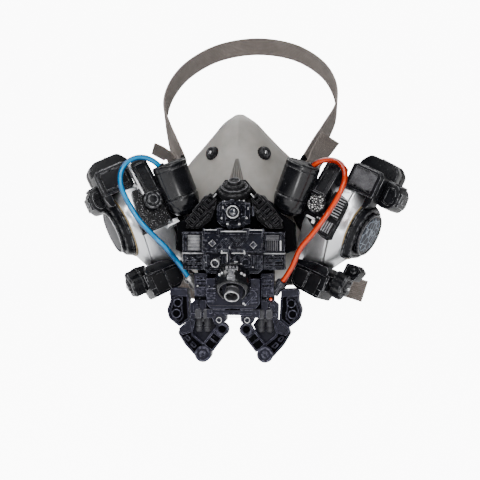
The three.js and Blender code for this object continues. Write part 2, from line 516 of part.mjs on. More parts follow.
// hose fittings on the side posts, with a shallow socket for the hose end
const fittingProfile = [[0, 0], [3.4, 0], [3.4, 2.5], [4.4, 3], [4.4, 6.5], [3.2, 7.4], [2.6, 7.4], [2.6, 5.6], [0, 5.6]];
const hoseEnd = (points) => {
  const [last, before] = [points.at(-1), points.at(-2)].map((p) => new THREE.Vector3(...p));
  return { last, back: before.clone().sub(last).normalize() };
};
for (const [tag, points] of [["left", hoseWay.orange], ["right", hoseWay.blue]]) {
  const { last, back } = hoseEnd(points);
  const base = last.clone().addScaledVector(back, -5.6 - GAP);
  const cross = tag === "left" ? 1 : -1;
  const postRoom = slab(post.map(([x, z]) => [cross * (x + (x > 25 ? GAP : -GAP)), z + (z > -50 ? GAP : 0)]), blockBack, -82 - GAP, 0);
  const shaft = aim(rod(3.4, -5, 1, 14), base.toArray(), back.toArray());
  const body = join(aim(turned(fittingProfile, 14), base.toArray(), back.toArray()), shaft);
  piece(model, `fitting_${tag}`, cut(body, postRoom, slab(box(-29.3, 29.3, -80, -20), -40, DECK - 0.2, 0)), steel);
}

// yokes: a strip along the cheek edge with a strap loop at each end
const loops = {
  // middle of the bar, way the strap leaves, outward side
  top: { at: [53, -3, 38], along: [0.35, 0.63, 0.7], out: [0.85, -0.5, 0.03] },
  low: { at: [45, -0.5, -47], along: [0.35, 0.92, -0.15], out: [0.7, -0.35, -0.62] },
};
function loopPlace({ at, along, out }) {
  const t = new THREE.Vector3(...along).normalize();
  const n = new THREE.Vector3(...out);
  n.addScaledVector(t, -n.dot(t)).normalize();
  return { t, n, w: t.clone().cross(n), at: new THREE.Vector3(...at) };
}
function strapLoop(place) {
  const { t, n, w, at } = loopPlace(place);
  const matrix = new THREE.Matrix4().makeBasis(t, w, n).setPosition(at);
  const frame = new THREE.BoxGeometry(13, STRAP_WIDE + 7, 2.6).translate(-5, 0, 0);
  const slot = new THREE.BoxGeometry(4.6, STRAP_WIDE + 1.2, 6).translate(-3.8, 0, 0);
  return cut(solid(frame), solid(slot)).transform(matrix.elements);
}
const strip = sheet(faceGrid(7, 1, GAP + 3.2, 0.46, 0.87, 0.9, 0.99), faceGrid(7, 1, GAP, 0.46, 0.87, 0.9, 0.99));
const yoke = cut(join(strip, strapLoop(loops.top), strapLoop(loops.low)), seat, ...drumRooms);
for (const { tag, group } of sides) piece(group, `yoke_${tag}`, yoke, matte);

// straps: rows of a place and the outward side of the webbing there
function fold(place) {
  const { t, n, at } = loopPlace(place);
  const spot = (degrees) => {
    const [c, s] = [Math.cos(rad(degrees)), Math.sin(rad(degrees))];
    const out = n.clone().multiplyScalar(s).addScaledVector(t, c);
    return [...at.clone().addScaledVector(out, TURN_R).toArray(), ...out.toArray()];
  };
  return [100, 125, 152, 180, 208, 235, 260].map(spot);
}
const strapRows = {
  head: {
    // x, y, z, outward x, y, z; free end first, then the fold, then the loop to the middle of the back
    tailLeft: [[70, 3, 62, 0.35, -0.93, -0.1], [66, 3.5, 56, 0.5, -0.85, -0.1], [61.5, 2, 49.5, 0.7, -0.7, 0], [58.5, 0.5, 45, 0.82, -0.57, 0]],
    tailRight: [[74, -4, 53.5, 0.5, -0.5, -0.7], [67, -3.5, 50, 0.62, -0.55, -0.55], [61.5, -2, 46.4, 0.78, -0.55, -0.25], [58.3, -0.5, 43.6, 0.85, -0.5, 0]],
    loop: [
      [58.5, 12, 54, -0.85, 0.5, 0], [66, 30, 69, -0.93, 0.36, 0.1], [73, 55, 87, -0.99, 0.05, 0.1], [71, 82, 108, -0.9, -0.35, -0.2],
      [59, 103, 127, -0.72, -0.55, -0.42], [34, 119, 143, -0.4, -0.7, -0.59], [0, 125, 149, 0, -0.76, -0.65],
    ],
  },
  neck: {
    tailLeft: [[98, 14, -63.5, 0.1, -0.99, 0], [87, 13, -60, 0.1, -0.99, 0], [74, 11.6, -56.6, 0.15, -0.98, 0], [62, 9.4, -53.8, 0.3, -0.94, -0.1], [53.6, 6.2, -51.8, 0.45, -0.8, -0.3], [49.2, 2.6, -50, 0.6, -0.6, -0.5]],
    tailRight: [[49.5, 9.4, -69.5, 0.05, -1, 0], [48.8, 8.6, -62, 0.1, -1, 0], [48.8, 7, -56, 0.3, -0.93, -0.2], [48.9, 4, -51.4, 0.56, -0.66, -0.48]],
    loop: [
      [46.8, 13, -47.2, -0.75, 0.45, 0.45], [53, 32, -49, -0.93, 0.3, 0.2], [55.5, 54, -51, -1, -0.05, 0],
      [50, 78, -53, -0.85, -0.53, 0], [32, 97, -55.5, -0.5, -0.86, 0], [0, 105, -57, 0, -1, 0],
    ],
  },
};
const flipX = (row) => row.map((value, c) => (c % 3 === 0 ? -value : value));

// a flat band along rows, its width square to both the way and the outward side
function band(rows) {
  const points = rows.map((r) => new THREE.Vector3(r[0], r[1], r[2]));
  const outs = rows.map((r) => new THREE.Vector3(r[3], r[4], r[5]));
  const way = new THREE.CatmullRomCurve3(points, false, "centripetal");
  const outer = [];
  const inner = [];
  const last = rows.length - 1;
  for (let i = 0; i <= last; i += 1) {
    const near = i < last ? points[i].distanceTo(points[i + 1]) : 0;
    const steps = i === last ? 1 : Math.max(1, Math.round(near / 11));
    for (let k = 0; k < steps; k += 1) {
      const f = (i + k / steps) / last;
      const spot = way.getPoint(f);
      const along = way.getTangent(f);
      const out = outs[i].clone().lerp(outs[Math.min(i + 1, last)], k / steps);
      out.addScaledVector(along, -out.dot(along)).normalize();
      const wide = along.clone().cross(out);
      const edge = (a, b) => spot.clone().addScaledVector(wide, a).addScaledVector(out, b).toArray();
      const cross = [-STRAP_WIDE / 2, STRAP_WIDE / 2];
      outer.push(cross.map((a) => edge(a, STRAP_THICK / 2)));
      inner.push(cross.map((a) => edge(a, -STRAP_THICK / 2)));
    }
  }
  return sheet(outer, inner);
}
for (const [name, place] of [["head", loops.top], ["neck", loops.low]]) {
  const { tailLeft, tailRight, loop } = strapRows[name];
  const turn = fold(place);
  const rows = [...tailLeft, ...turn, ...loop, ...[...tailRight, ...turn, ...loop.slice(0, -1)].map(flipX).reverse()];
  piece(model, `${name}_strap`, band(rows), webbing);
}

export default model;
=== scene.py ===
import math

import bmesh
import bpy
import numpy as np
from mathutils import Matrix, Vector


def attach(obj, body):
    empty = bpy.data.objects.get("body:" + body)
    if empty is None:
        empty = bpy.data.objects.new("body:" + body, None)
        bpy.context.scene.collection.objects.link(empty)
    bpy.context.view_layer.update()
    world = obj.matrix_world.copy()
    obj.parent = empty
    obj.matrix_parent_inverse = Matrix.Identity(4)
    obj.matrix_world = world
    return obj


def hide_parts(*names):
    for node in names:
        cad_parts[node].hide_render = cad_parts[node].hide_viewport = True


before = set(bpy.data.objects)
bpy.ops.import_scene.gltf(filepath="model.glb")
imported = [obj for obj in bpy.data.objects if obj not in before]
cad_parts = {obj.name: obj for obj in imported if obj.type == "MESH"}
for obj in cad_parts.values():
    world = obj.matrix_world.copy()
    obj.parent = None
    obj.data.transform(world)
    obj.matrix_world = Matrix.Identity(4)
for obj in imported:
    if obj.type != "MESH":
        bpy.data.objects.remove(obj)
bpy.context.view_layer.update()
mm = 0.001
print("stage: frame loaded")

# camera at the photograph's angle
photoView = {
    "azimuth": 5.5, "elevation": 2.0, "distance": 1040.0, "target": (2.5, -60.0, -19.0), "lens": 101.3,
    "sensor": 36.0}


def setCamera(view):
    az, el = math.radians(view["azimuth"]), math.radians(view["elevation"])
    back = Vector((math.sin(az) * math.cos(el), -math.cos(az) * math.cos(el), math.sin(el)))
    data = bpy.data.cameras.new("photoCamera")
    data.lens, data.sensor_width = view["lens"], view["sensor"]
    camera = bpy.data.objects.new("photoCamera", data)
    camera.location = (Vector(view["target"]) + back * view["distance"]) * mm
    camera.rotation_euler = back.to_track_quat("Z", "Y").to_euler()
    bpy.context.scene.collection.objects.link(camera)
    bpy.context.scene.camera = camera


setCamera(photoView)


# rows scaled to length one
def unit(rows):
    return rows / np.linalg.norm(rows, axis=-1, keepdims=True)


# a place is an origin and three axes; a local point (p, q, h) lands at origin + p P + q Q + h H
def makePlace(origin, p, q, h):
    return np.array(origin, float), np.array([p, q, h], float)


def mirrorPlace(place):
    flip = np.array([-1.0, 1.0, 1.0])
    return place[0] * flip, place[1] * flip


# a place moved along its own axes
def movedPlace(place, p, q, h=0.0):
    return place[0] + np.array([p, q, h], float) @ place[1], place[1]


# a place whose H axis runs along a direction from a point
def aimPlace(origin, along, ref=(0.0, 1.0, 0.0)):
    h = unit(np.array(along, float))
    p = unit(np.cross(np.array(ref, float), h))
    return makePlace(origin, p, np.cross(h, p), h)


# quads of a grid of rows by cols, joined round when wrap is set
def gridQuads(rows, cols, wrap=True):
    i, j = np.meshgrid(np.arange(rows - 1), np.arange(cols if wrap else cols - 1), indexing="ij")
    k = (j + 1) % cols
    return np.stack([i * cols + j, i * cols + k, (i + 1) * cols + k, (i + 1) * cols + j], -1).reshape(-1, 4)


# sum over faces of the volume of the fan from the origin
def signedVolume(verts, polys):
    total = 0.0
    for group in polys:
        c = verts[group]
        total += np.einsum("fi,fki->", c[:, 0], np.cross(c[:, 1:-1], c[:, 2:]))
    return total


# a shell is points, groups of faces with the same corner count, and the edge wear and painted edge
# highlight of each face
def oriented(verts, polys, wearHighlights):
    if signedVolume(verts - verts.mean(0), polys) < 0:
        polys = [group[:, ::-1] for group in polys]
    return verts, polys, wearHighlights


def placed(shell, place):
    origin, axes = place
    verts, polys, wearHighlights = shell
    if np.linalg.det(axes) < 0:
        polys = [group[:, ::-1] for group in polys]
    return origin + verts @ axes, polys, wearHighlights


# one shell copied to many spots
def repeated(shell, spots):
    verts, polys, wearHighlights = shell
    spots = np.asarray(spots, float)
    shift = (np.arange(len(spots)) * len(verts))[:, None, None]
    many = [(group[None] + shift).reshape(-1, group.shape[1]) for group in polys]
    return (verts[None] + spots[:, None]).reshape(-1, 3), many, [np.tile(w, len(spots)) for w in wearHighlights]


def merged(shells):
    polys, wearHighlights, start = [], [], 0
    for verts, groups, wearHighlight in shells:
        polys += [group + start for group in groups]
        wearHighlights += list(wearHighlight)
        start += len(verts)
    return np.vstack([s[0] for s in shells]), polys, wearHighlights


# corners become quadratic curves that start and end a radius away along their two sides
def roundCorners(line, radius, steps=4, closed=True):
    line = np.asarray(line, float)
    before, after = np.roll(line, 1, 0) - line, np.roll(line, -1, 0) - line
    share = lambda side: np.minimum(radius / np.maximum(np.linalg.norm(side, axis=1), 1e-9), 0.45)
    a, b = line + share(before)[:, None] * before, line + share(after)[:, None] * after
    t = np.linspace(0, 1, steps)[None, :, None]
    curve = (1 - t) ** 2 * a[:, None] + 2 * t * (1 - t) * line[:, None] + t ** 2 * b[:, None]
    if closed:
        return curve.reshape(-1, 2)
    return np.vstack([line[:1], curve[1:-1].reshape(-1, 2), line[-1:]])


def counterClockwise(outline):
    outline = np.asarray(outline, float)
    x, y = outline.T
    return outline if (x * np.roll(y, -1) - y * np.roll(x, -1)).sum() > 0 else outline[::-1]


# every side moves inward by the depth, and the corners are where the moved sides meet
def insetOutline(outline, depth):
    ahead = unit(np.roll(outline, -1, 0) - outline)
    behind = unit(outline - np.roll(outline, 1, 0))
    inward = lambda d: np.stack([-d[:, 1], d[:, 0]], -1)
    share = 1 / np.maximum(1 + (ahead * behind).sum(-1), 0.3)
    return outline + depth * (inward(ahead) + inward(behind)) * share[:, None]


# quads between rings of points and one face over each end ring
def loftShell(rings, ringWearHighlight):
    count, around = rings.shape[:2]
    ends = np.stack([np.arange(around)[::-1], np.arange((count - 1) * around, count * around)])
    wearHighlights = [np.repeat(ringWearHighlight, around), np.zeros(2)]
    return oriented(rings.reshape(-1, 3), [gridQuads(count, around), ends], wearHighlights)


# an outline carried up a list of steps, each an inset, a height and the wear and painted highlight of the
# face above it;
# its corners are rounded less as it shrinks
def slabShell(outline, steps, corner):
    base, rings = counterClockwise(outline), []
    for inset, height, wearHighlight in steps:
        ring = roundCorners(insetOutline(base, inset), max(corner - 0.6 * inset, 0.2))
        rings.append(np.column_stack([ring, np.full(len(ring), height)]))
    return loftShell(np.stack(rings), np.array([wearHighlight for inset, height, wearHighlight in steps[:-1]], float))


# a quarter circle of radius r over the front edge, with a line of about 0.3 mm in its middle marked for
# wear and a painted highlight line
def softSteps(back, front, r):
    line = min(0.5, 0.2 / r)
    arc = math.pi / 2 * np.array([0, 0.25, 0.5 - line / 2, 0.5 + line / 2, 0.75, 1])
    wearHighlights = [0, 0, 1, 0, 0, 0]
    edge = [(r * (1 - math.cos(f)), front - r * (1 - math.sin(f)), wearHighlight) for f, wearHighlight in zip(arc, wearHighlights)]
    return [(0, back, 0)] + edge


# the same edge, then a rim of some width, half marked for wear and painted highlight, and a sunk middle
def framedSteps(back, front, r, rim, sunk):
    inner = r + rim
    return softSteps(back, front, r) + [(inner, front, 0.5), (inner + 0.35, front - sunk, 0)]


def boxOutline(p0, p1, q0, q1):
    return [[p0, q0], [p1, q0], [p1, q1], [p0, q1]]


# a profile of radius and height turned about the H axis; ends on the axis close in a pole,
# others in a flat face, and short faces beside an outer corner are marked for wear and painted highlight
def turnShell(profile, sides, loop=False):
    profile = np.asarray(profile, float)
    r, h = profile.T
    poles = [None, None] if loop else [h[0] if r[0] < 1e-6 else None, h[-1] if r[-1] < 1e-6 else None]
    body = profile[int(poles[0] is not None):len(profile) - int(poles[1] is not None)]
    angle = np.linspace(0, 2 * math.pi, sides, endpoint=False)
    turn = np.stack([np.cos(angle), np.sin(angle)], -1)
    count = len(body)
    heights = np.broadcast_to(body[:, None, 1:], (count, sides, 1))
    verts = np.concatenate([body[:, None, :1] * turn[None], heights], -1).reshape(-1, 3)
    d = unit(np.diff(np.vstack([body, body[:1]]), axis=0))
    x, y = np.vstack([[0, h[0]], profile, [0, h[-1]]]).T
    spin = np.sign((x * np.roll(y, -1) - y * np.roll(x, -1)).sum()) if not loop else 0
    bend = np.cross(np.roll(d, 1, 0), d) * spin
    convex = np.clip(bend * 1.6, 0, 1)
    # a face beside an outer corner takes wear and painted edge highlight
    wearHighlight = np.maximum(convex, np.roll(convex, -1))  # wear of the face from ring i to i + 1
    length = np.linalg.norm(np.diff(np.vstack([body, body[:1]]), axis=0), axis=1)
    wearHighlight = np.where(length < 1.2, wearHighlight, 0)
    polys, wearHighlights = [gridQuads(count, sides)], [np.repeat(wearHighlight[:count - 1], sides)]
    if loop:
        ring, last = np.arange(sides), (count - 1) * sides
        after = np.roll(ring, -1)
        polys.append(np.stack([last + ring, last + after, after, ring], -1))
        wearHighlights.append(np.zeros(sides))
    for end, pole in enumerate(poles if not loop else []):
        ring = np.arange(sides) + (count - 1) * sides * end
        if pole is None:
            polys.append((ring if end else ring[::-1])[None])
            wearHighlights.append(np.zeros(1))
        else:
            tip = len(verts)
            verts = np.vstack([verts, [0, 0, pole]])
            after = np.roll(ring, -1)
            fan = np.stack([ring, after, np.full(sides, tip)], -1)
            polys.append(fan if end else fan[:, ::-1])
            wearHighlights.append(np.zeros(sides))
    return oriented(verts, polys, wearHighlights)


def softProfile(profile, radius, steps=4):
    return roundCorners(profile, radius, steps, closed=False)


# a ring of round section
def hoopShell(radius, thick, height, sides=48, around=10):
    f = np.linspace(0, 2 * math.pi, around, endpoint=False)
    section = np.stack([radius + thick * np.cos(f), height + thick * np.sin(f)], -1)
    return turnShell(section, sides, loop=True)


# boxes with chamfered edges: each corner has three points, each full out on one axis only
cornerSigns = np.array([[x, y, z] for x in (-1, 1) for y in (-1, 1) for z in (-1, 1)], float)


def boxFaces():
    verts = (cornerSigns[:, None] * (1 - 0.2 * (1 - np.eye(3))[None])).reshape(-1, 3)
    flat, edges = [], []
    for k in range(3):
        a, b = (k + 1) % 3, (k + 2) % 3
        for s in (-1, 1):
            order = [(-1, -1), (1, -1), (1, 1), (-1, 1)]
            flat.append([3 * cornerIndex({k: s, a: x, b: y}) + k for x, y in order])
            for t in (-1, 1):
                low, high = cornerIndex({k: -1, a: s, b: t}), cornerIndex({k: 1, a: s, b: t})
                edges.append([3 * low + a, 3 * high + a, 3 * high + b, 3 * low + b])
    tips = [[3 * c, 3 * c + 1, 3 * c + 2] for c in range(8)]
    normal = lambda f: np.cross(verts[f[1]] - verts[f[0]], verts[f[2]] - verts[f[0]])
    outward = lambda f: np.dot(normal(f), verts[f].mean(0)) > 0
    return [np.array([f if outward(f) else f[::-1] for f in group]) for group in (flat, edges, tips)]


def cornerIndex(signs):
    return 4 * (signs[0] > 0) + 2 * (signs[1] > 0) + (signs[2] > 0)


boxPolys = boxFaces()


# rows of p0, p1, q0, q1, h0, h1
def boxesShell(rows, chamfer):
    rows = np.asarray(rows, float).reshape(-1, 6)
    middle, half = (rows[:, 0::2] + rows[:, 1::2]) / 2, abs(rows[:, 1::2] - rows[:, 0::2]) / 2
    cut = np.minimum(chamfer, 0.45 * half.min(1))[:, None, None, None]
    reach = half[:, None, None, :] - cut * (1 - np.eye(3))[None, None]
    verts = (middle[:, None, None, :] + cornerSigns[None, :, None, :] * reach).reshape(-1, 3)
    shift = (24 * np.arange(len(rows)))[:, None, None]
    polys = [(group[None] + shift).reshape(-1, group.shape[1]) for group in boxPolys]
    # the chamfer faces are marked in full for wear and painted edge highlight
    return verts, polys, [np.full(len(group), wearHighlight) for group, wearHighlight in zip(polys, (0.0, 1.0, 1.0))]


# shells set in their places
def turnedAt(profile, soft, sides, place, loop=False):
    return placed(turnShell(softProfile(profile, soft), sides, loop), place)


def slabAt(outline, steps, corner, place):
    return placed(slabShell(outline, steps, corner), place)


def boxesAt(rows, chamfer, place):
    return placed(boxesShell(rows, chamfer), place)


# evenly spaced spots on a circle
def ringSpots(r, n, h, start=0.0):
    f = np.linspace(0, 2 * math.pi, n, endpoint=False) + start
    return np.stack([r * np.cos(f), r * np.sin(f), np.full(n, h)], -1)


# a smooth line through points, each span eased by the square roots of the distances
def smoothPath(points, count):
    points = np.asarray(points, float)
    pts = np.vstack([2 * points[0] - points[1], points, 2 * points[-1] - points[-2]])
    knots = np.concatenate([[0], np.cumsum(np.sqrt(np.linalg.norm(np.diff(pts[:, :3], axis=0), axis=1)))])
    t = np.linspace(knots[1], knots[-2], count)
    i = np.clip(np.searchsorted(knots, t, side="right") - 1, 1, len(points) - 1)
    k, p = [knots[i + d] for d in (-1, 0, 1, 2)], [pts[i + d] for d in (-1, 0, 1, 2)]
    mix = lambda a, b, ta, tb: ((tb - t) / (tb - ta))[:, None] * a + ((t - ta) / (tb - ta))[:, None] * b
    a1, a2, a3 = mix(p[0], p[1], k[0], k[1]), mix(p[1], p[2], k[1], k[2]), mix(p[2], p[3], k[2], k[3])
    return mix(mix(a1, a2, k[0], k[2]), mix(a2, a3, k[1], k[3]), k[1], k[2])


# a section of side and up distances carried along a path
def sweepShell(path, side, up, section):
    rings = path[:, None] + side[:, None] * section[None, :, :1] + up[:, None] * section[None, :, 1:]
    return loftShell(rings, np.zeros(len(path) - 1))


# the side and up directions along a path
def pathAxes(path, ref):
    along = unit(np.gradient(path, axis=0))
    side = unit(np.cross(along, np.array(ref, float)))
    return side, np.cross(side, along)


def circle(radius, sides):
    f = np.linspace(0, 2 * math.pi, sides, endpoint=False)
    return radius * np.stack([np.cos(f), np.sin(f)], -1)


# a mesh gets its finish and becomes a piece on the body
def finishPiece(name, mesh, material, replaced, sharp):
    mesh.polygons.foreach_set("use_smooth", np.ones(len(mesh.polygons), bool))
    mesh.set_sharp_from_angle(angle=math.radians(sharp))
    mesh.materials.clear()
    mesh.materials.append(material)
    mesh.update()
    piece = bpy.data.objects.new(name, mesh)
    bpy.context.scene.collection.objects.link(piece)
    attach(piece, "root")
    if replaced:
        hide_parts(*replaced)
    return piece


# shells in millimetres become one piece; lay holds how far along and across a band each point is
def makePiece(name, shells, material, replaced=(), sharp=38, lay=None):
    verts, polys, wearHighlights = merged(shells)
    mesh = bpy.data.meshes.new(name)
    mesh.from_pydata(verts * mm, [], [row for group in polys for row in group.tolist()])
    # each face's wear and painted edge highlight goes into a face attribute
    wearHighlightData = mesh.attributes.new("edgeWearHighlight", "FLOAT", "FACE").data
    wearHighlightData.foreach_set("value", np.concatenate(wearHighlights).astype(np.float32))
    if lay is not None:
        layData = mesh.attributes.new("lay", "FLOAT_VECTOR", "POINT").data
        layData.foreach_set("vector", np.asarray(lay, np.float32).ravel())
    return finishPiece(name, mesh, material, replaced, sharp)


# a piece of one side, which replaces that side's node when one is named
def sidePiece(tag, name, shells, material, slotName, node="", sharp=38):
    makePiece(f"{name}_{tag}", shells, material, [f"{node}_{tag}"] if node else [], sharp)


roundForm = {"doubles": 2e-6, "flat": 1.5, "edge": 24, "segments": 2, "sharp": 38}


# a copy of a CAD node with its doubles merged and its sharp edges rounded over; the rounded faces are
# marked for wear and painted edge highlight
def roundedNode(nodeName, name, material, width):
    work = bmesh.new()
    work.from_mesh(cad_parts[nodeName].data)
    bmesh.ops.remove_doubles(work, verts=work.verts, dist=roundForm["doubles"])
    flat, edge = math.radians(roundForm["flat"]), math.radians(roundForm["edge"])
    bmesh.ops.dissolve_limit(work, angle_limit=flat, verts=work.verts, edges=work.edges)
    layer = work.faces.layers.float.new("edgeWearHighlight")
    sharp = [e for e in work.edges if len(e.link_faces) == 2 and e.calc_face_angle() > edge]
    done = bmesh.ops.bevel(work, geom=sharp, offset=width * mm, segments=roundForm["segments"],
                           profile=0.5, affect="EDGES", clamp_overlap=False)
    for face in done["faces"]:
        face[layer] = 1.0
    mesh = bpy.data.meshes.new(name)
    work.to_mesh(mesh)
    work.free()
    finishPiece(name, mesh, material, [nodeName], roundForm["sharp"])


# a shader group of plain numbers, from its inputs with their first values and its outputs
def newGroup(name, inputs, outputs):
    group = bpy.data.node_groups.new(name, "ShaderNodeTree")
    for label, value in inputs.items():
        socket = group.interface.new_socket(label, in_out="INPUT", socket_type="NodeSocketFloat")
        socket.default_value = value
    for label in outputs:
        group.interface.new_socket(label, in_out="OUTPUT", socket_type="NodeSocketFloat")
    return group, group.nodes.new("NodeGroupInput").outputs, group.nodes.new("NodeGroupOutput").inputs


# one node with its inputs set to values or linked to sockets
def addNode(tree, kind, inputs=(), **settings):
    node = tree.nodes.new(kind)
    for key, value in settings.items():
        setattr(node, key, value)
    for key, value in dict(inputs).items():
        if isinstance(value, bpy.types.NodeSocket):
            tree.links.new(value, node.inputs[key])
        else:
            node.inputs[key].default_value = value
    return node


def mathNode(tree, operation, *values, clamp=False):
    node = addNode(tree, "ShaderNodeMath", enumerate(values), operation=operation, use_clamp=clamp)
    return node.outputs[0]


def rampBetween(tree, value, low, high):
    return addNode(tree, "ShaderNodeMapRange", {0: value, 1: low, 2: high}, clamp=True).outputs[0]


def mixColour(tree, factor, a, b):
    return addNode(tree, "ShaderNodeMix", {0: factor, 6: a, 7: b}, data_type="RGBA").outputs[2]


def objectSpot(tree):
    return addNode(tree, "ShaderNodeTexCoord").outputs["Object"]


def noiseAt(tree, where, scale, detail=2.0, rough=0.5):
    inputs = {"Vector": where, "Scale": scale, "Detail": detail, "Roughness": rough}
    return addNode(tree, "ShaderNodeTexNoise", inputs).outputs[0]


# worn edges with painted edge highlight: the stored wear and highlight of a face, broken up by noise
def edgeWearHighlightGroup():
    group, inside, out = newGroup("edgeWearHighlight", {"Amount": 1.0, "Scale": 300.0}, ["Mask"])
    edge = addNode(group, "ShaderNodeAttribute", attribute_name="edgeWearHighlight").outputs["Fac"]
    broken = rampBetween(group, noiseAt(group, objectSpot(group), inside["Scale"], 3.0, 0.6), 0.4, 0.62)
    wornHighlight = mathNode(group, "MULTIPLY", edge, broken)
    group.links.new(mathNode(group, "MULTIPLY", wornHighlight, inside["Amount"], clamp=True), out["Mask"])
    return group


# layer lines: a sine of the height plus a share of the distance from the middle plane
def layerLinesGroup():
    group, inside, out = newGroup("layerLines", {"Pitch": 0.0004, "Slant": 0.0}, ["Height"])
    spot = addNode(group, "ShaderNodeSeparateXYZ", {0: objectSpot(group)}).outputs
    lean = mathNode(group, "MULTIPLY", mathNode(group, "ABSOLUTE", spot["X"]), inside["Slant"])
    phase = mathNode(group, "DIVIDE", mathNode(group, "ADD", spot["Z"], lean), inside["Pitch"])
    wave = mathNode(group, "SINE", mathNode(group, "MULTIPLY", phase, 2 * math.pi))
    group.links.new(mathNode(group, "MULTIPLY_ADD", wave, 0.5, 0.5), out["Height"])
    return group


# grain: two noises of different size as one height, and the larger one alone as a mottle
def grainGroup():
    group, inside, out = newGroup("grain", {"Fine": 1500.0, "Broad": 90.0}, ["Height", "Mottle"])
    spot = objectSpot(group)
    fine, broad = noiseAt(group, spot, inside["Fine"], 2.0), noiseAt(group, spot, inside["Broad"], 4.0, 0.6)
    halves = [mathNode(group, "MULTIPLY", noise, 0.5) for noise in (fine, broad)]
    group.links.new(mathNode(group, "ADD", *halves), out["Height"])
    group.links.new(rampBetween(group, broad, 0.32, 0.68), out["Mottle"])
    return group


# specks: small cells, kept where a cell's own random number is high; they read as pale dust on most blacks
# and as painted glints on the speckled plate
def specksGroup():
    group, inside, out = newGroup("specks", {"Scale": 900.0, "Share": 0.2}, ["Mask"])
    inputs = {"Vector": objectSpot(group), "Scale": inside["Scale"]}
    cells = addNode(group, "ShaderNodeTexVoronoi", inputs).outputs
    chance = addNode(group, "ShaderNodeSeparateXYZ", {0: cells["Color"]}).outputs[0]
    pick = mathNode(group, "GREATER_THAN", chance, mathNode(group, "SUBTRACT", 1.0, inside["Share"]))
    dot = rampBetween(group, cells["Distance"], 0.45, 0.2)
    group.links.new(mathNode(group, "MULTIPLY", pick, dot), out["Mask"])
    return group


edgeWearHighlight, layerLines, grain, specks = edgeWearHighlightGroup(), layerLinesGroup(), grainGroup(), specksGroup()


def useGroup(tree, group, **values):
    node = tree.nodes.new("ShaderNodeGroup")
    node.node_tree = group
    for key, value in values.items():
        node.inputs[key].default_value = value
    return node.outputs


def newMaterial(name, sockets):
    material = bpy.data.materials.new(name)
    material.use_nodes = True
    tree = material.node_tree
    shader = tree.nodes["Principled BSDF"]
    for key, value in sockets.items():
        shader.inputs[key].default_value = value
    return material, tree, shader


def addBump(tree, shader, height, distance, strength=1.0):
    bump = addNode(tree, "ShaderNodeBump", {"Height": height, "Distance": distance, "Strength": strength})
    tree.links.new(bump.outputs["Normal"], shader.inputs["Normal"])


def addColour(tree, shader, factor, a, b):
    tree.links.new(mixColour(tree, factor, a, b), shader.inputs["Base Color"])


# roughness from a base plus a share of a mask
def varyRoughness(tree, shader, mask, share, base):
    tree.links.new(mathNode(tree, "MULTIPLY_ADD", mask, share, base), shader.inputs["Roughness"])


# printed black plastic: deep colour, pale edges that are partly rubbed wear and partly painted highlight,
# layer lines and grain
def blackPlastic(name, look):
    sockets = {"Specular IOR Level": look["specular"], "Coat Roughness": 0.12, "Coat Weight": look["coat"]}
    material, tree, shader = newMaterial(name, sockets)
    rubHighlight = useGroup(tree, edgeWearHighlight, Amount=look["wearHighlight"], Scale=look["wearHighlightScale"])["Mask"]
    skin = useGroup(tree, grain, Fine=1400.0, Broad=120.0)
    lines = useGroup(tree, layerLines, Pitch=look["pitch"], Slant=look["slant"])["Height"]
    spots = useGroup(tree, specks, Scale=look["speckScale"], Share=look["speckShare"])["Mask"]
    body = mixColour(tree, skin["Mottle"], look["dark"], look["sheen"])
    # pale: the worn edges with their painted highlight, and the pale specks
    pale = mathNode(tree, "MAXIMUM", rubHighlight, mathNode(tree, "MULTIPLY", spots, look["speckAmount"]))
    addColour(tree, shader, pale, body, look["rubbedHighlight"])
    varyRoughness(tree, shader, skin["Mottle"], look["roughVary"], look["rough"])
    ridges = mathNode(tree, "MULTIPLY", lines, look["lineDepth"])
    pits = mathNode(tree, "MULTIPLY", skin["Height"], look["grainDepth"])
    addBump(tree, shader, mathNode(tree, "ADD", ridges, pits), 0.00006)
    return material


# the rubbed colour is that of worn edges, partly real wear and partly painted highlight
baseLook = {
    "dark": (0.0022, 0.0024, 0.0034, 1), "sheen": (0.0045, 0.0048, 0.0065, 1),
    "rubbedHighlight": (0.42, 0.425, 0.44, 1), "rough": 0.24, "roughVary": 0.12, "specular": 0.11, "coat": 0.0,
    "wearHighlight": 0.7, "wearHighlightScale": 420.0, "pitch": 0.00042, "slant": 0.0, "lineDepth": 0.2, "grainDepth": 0.1,
    "speckScale": 700.0, "speckShare": 0.03, "speckAmount": 0.08}
glossLook = {**baseLook, "coat": 0.03}
matteLook = {
    **baseLook, "dark": (0.002, 0.002, 0.0028, 1), "sheen": (0.0045, 0.0045, 0.0055, 1),
    "rough": 0.45, "roughVary": 0.2, "wearHighlight": 0.3, "specular": 0.1}
# the speckled plate: deep black with dense bright specks, which are painted glints
speckLook = {
    **matteLook, "dark": (0.001, 0.001, 0.0014, 1), "sheen": (0.003, 0.003, 0.004, 1), "speckScale": 1500.0,
    "speckShare": 0.09, "speckAmount": 0.9, "grainDepth": 0.9, "rough": 0.2, "specular": 0.16}
panelLook = {
    **matteLook, "dark": (0.035, 0.035, 0.039, 1), "sheen": (0.09, 0.09, 0.098, 1),
    "rough": 0.4, "grainDepth": 5.0, "lineDepth": 3.0, "pitch": 0.0011, "specular": 0.3}
chevronLook = {
    **baseLook, "dark": (0.0018, 0.0021, 0.0052, 1), "sheen": (0.006, 0.007, 0.014, 1), "slant": 1.0,
    "pitch": 0.0013, "lineDepth": 2.4, "rough": 0.2, "specular": 0.08}
navyLook = {
    **baseLook, "dark": (0.0012, 0.0014, 0.0034, 1), "sheen": (0.0036, 0.0041, 0.0082, 1),
    "rubbedHighlight": (0.36, 0.37, 0.43, 1), "wearHighlight": 0.6, "rough": 0.2, "specular": 0.06}
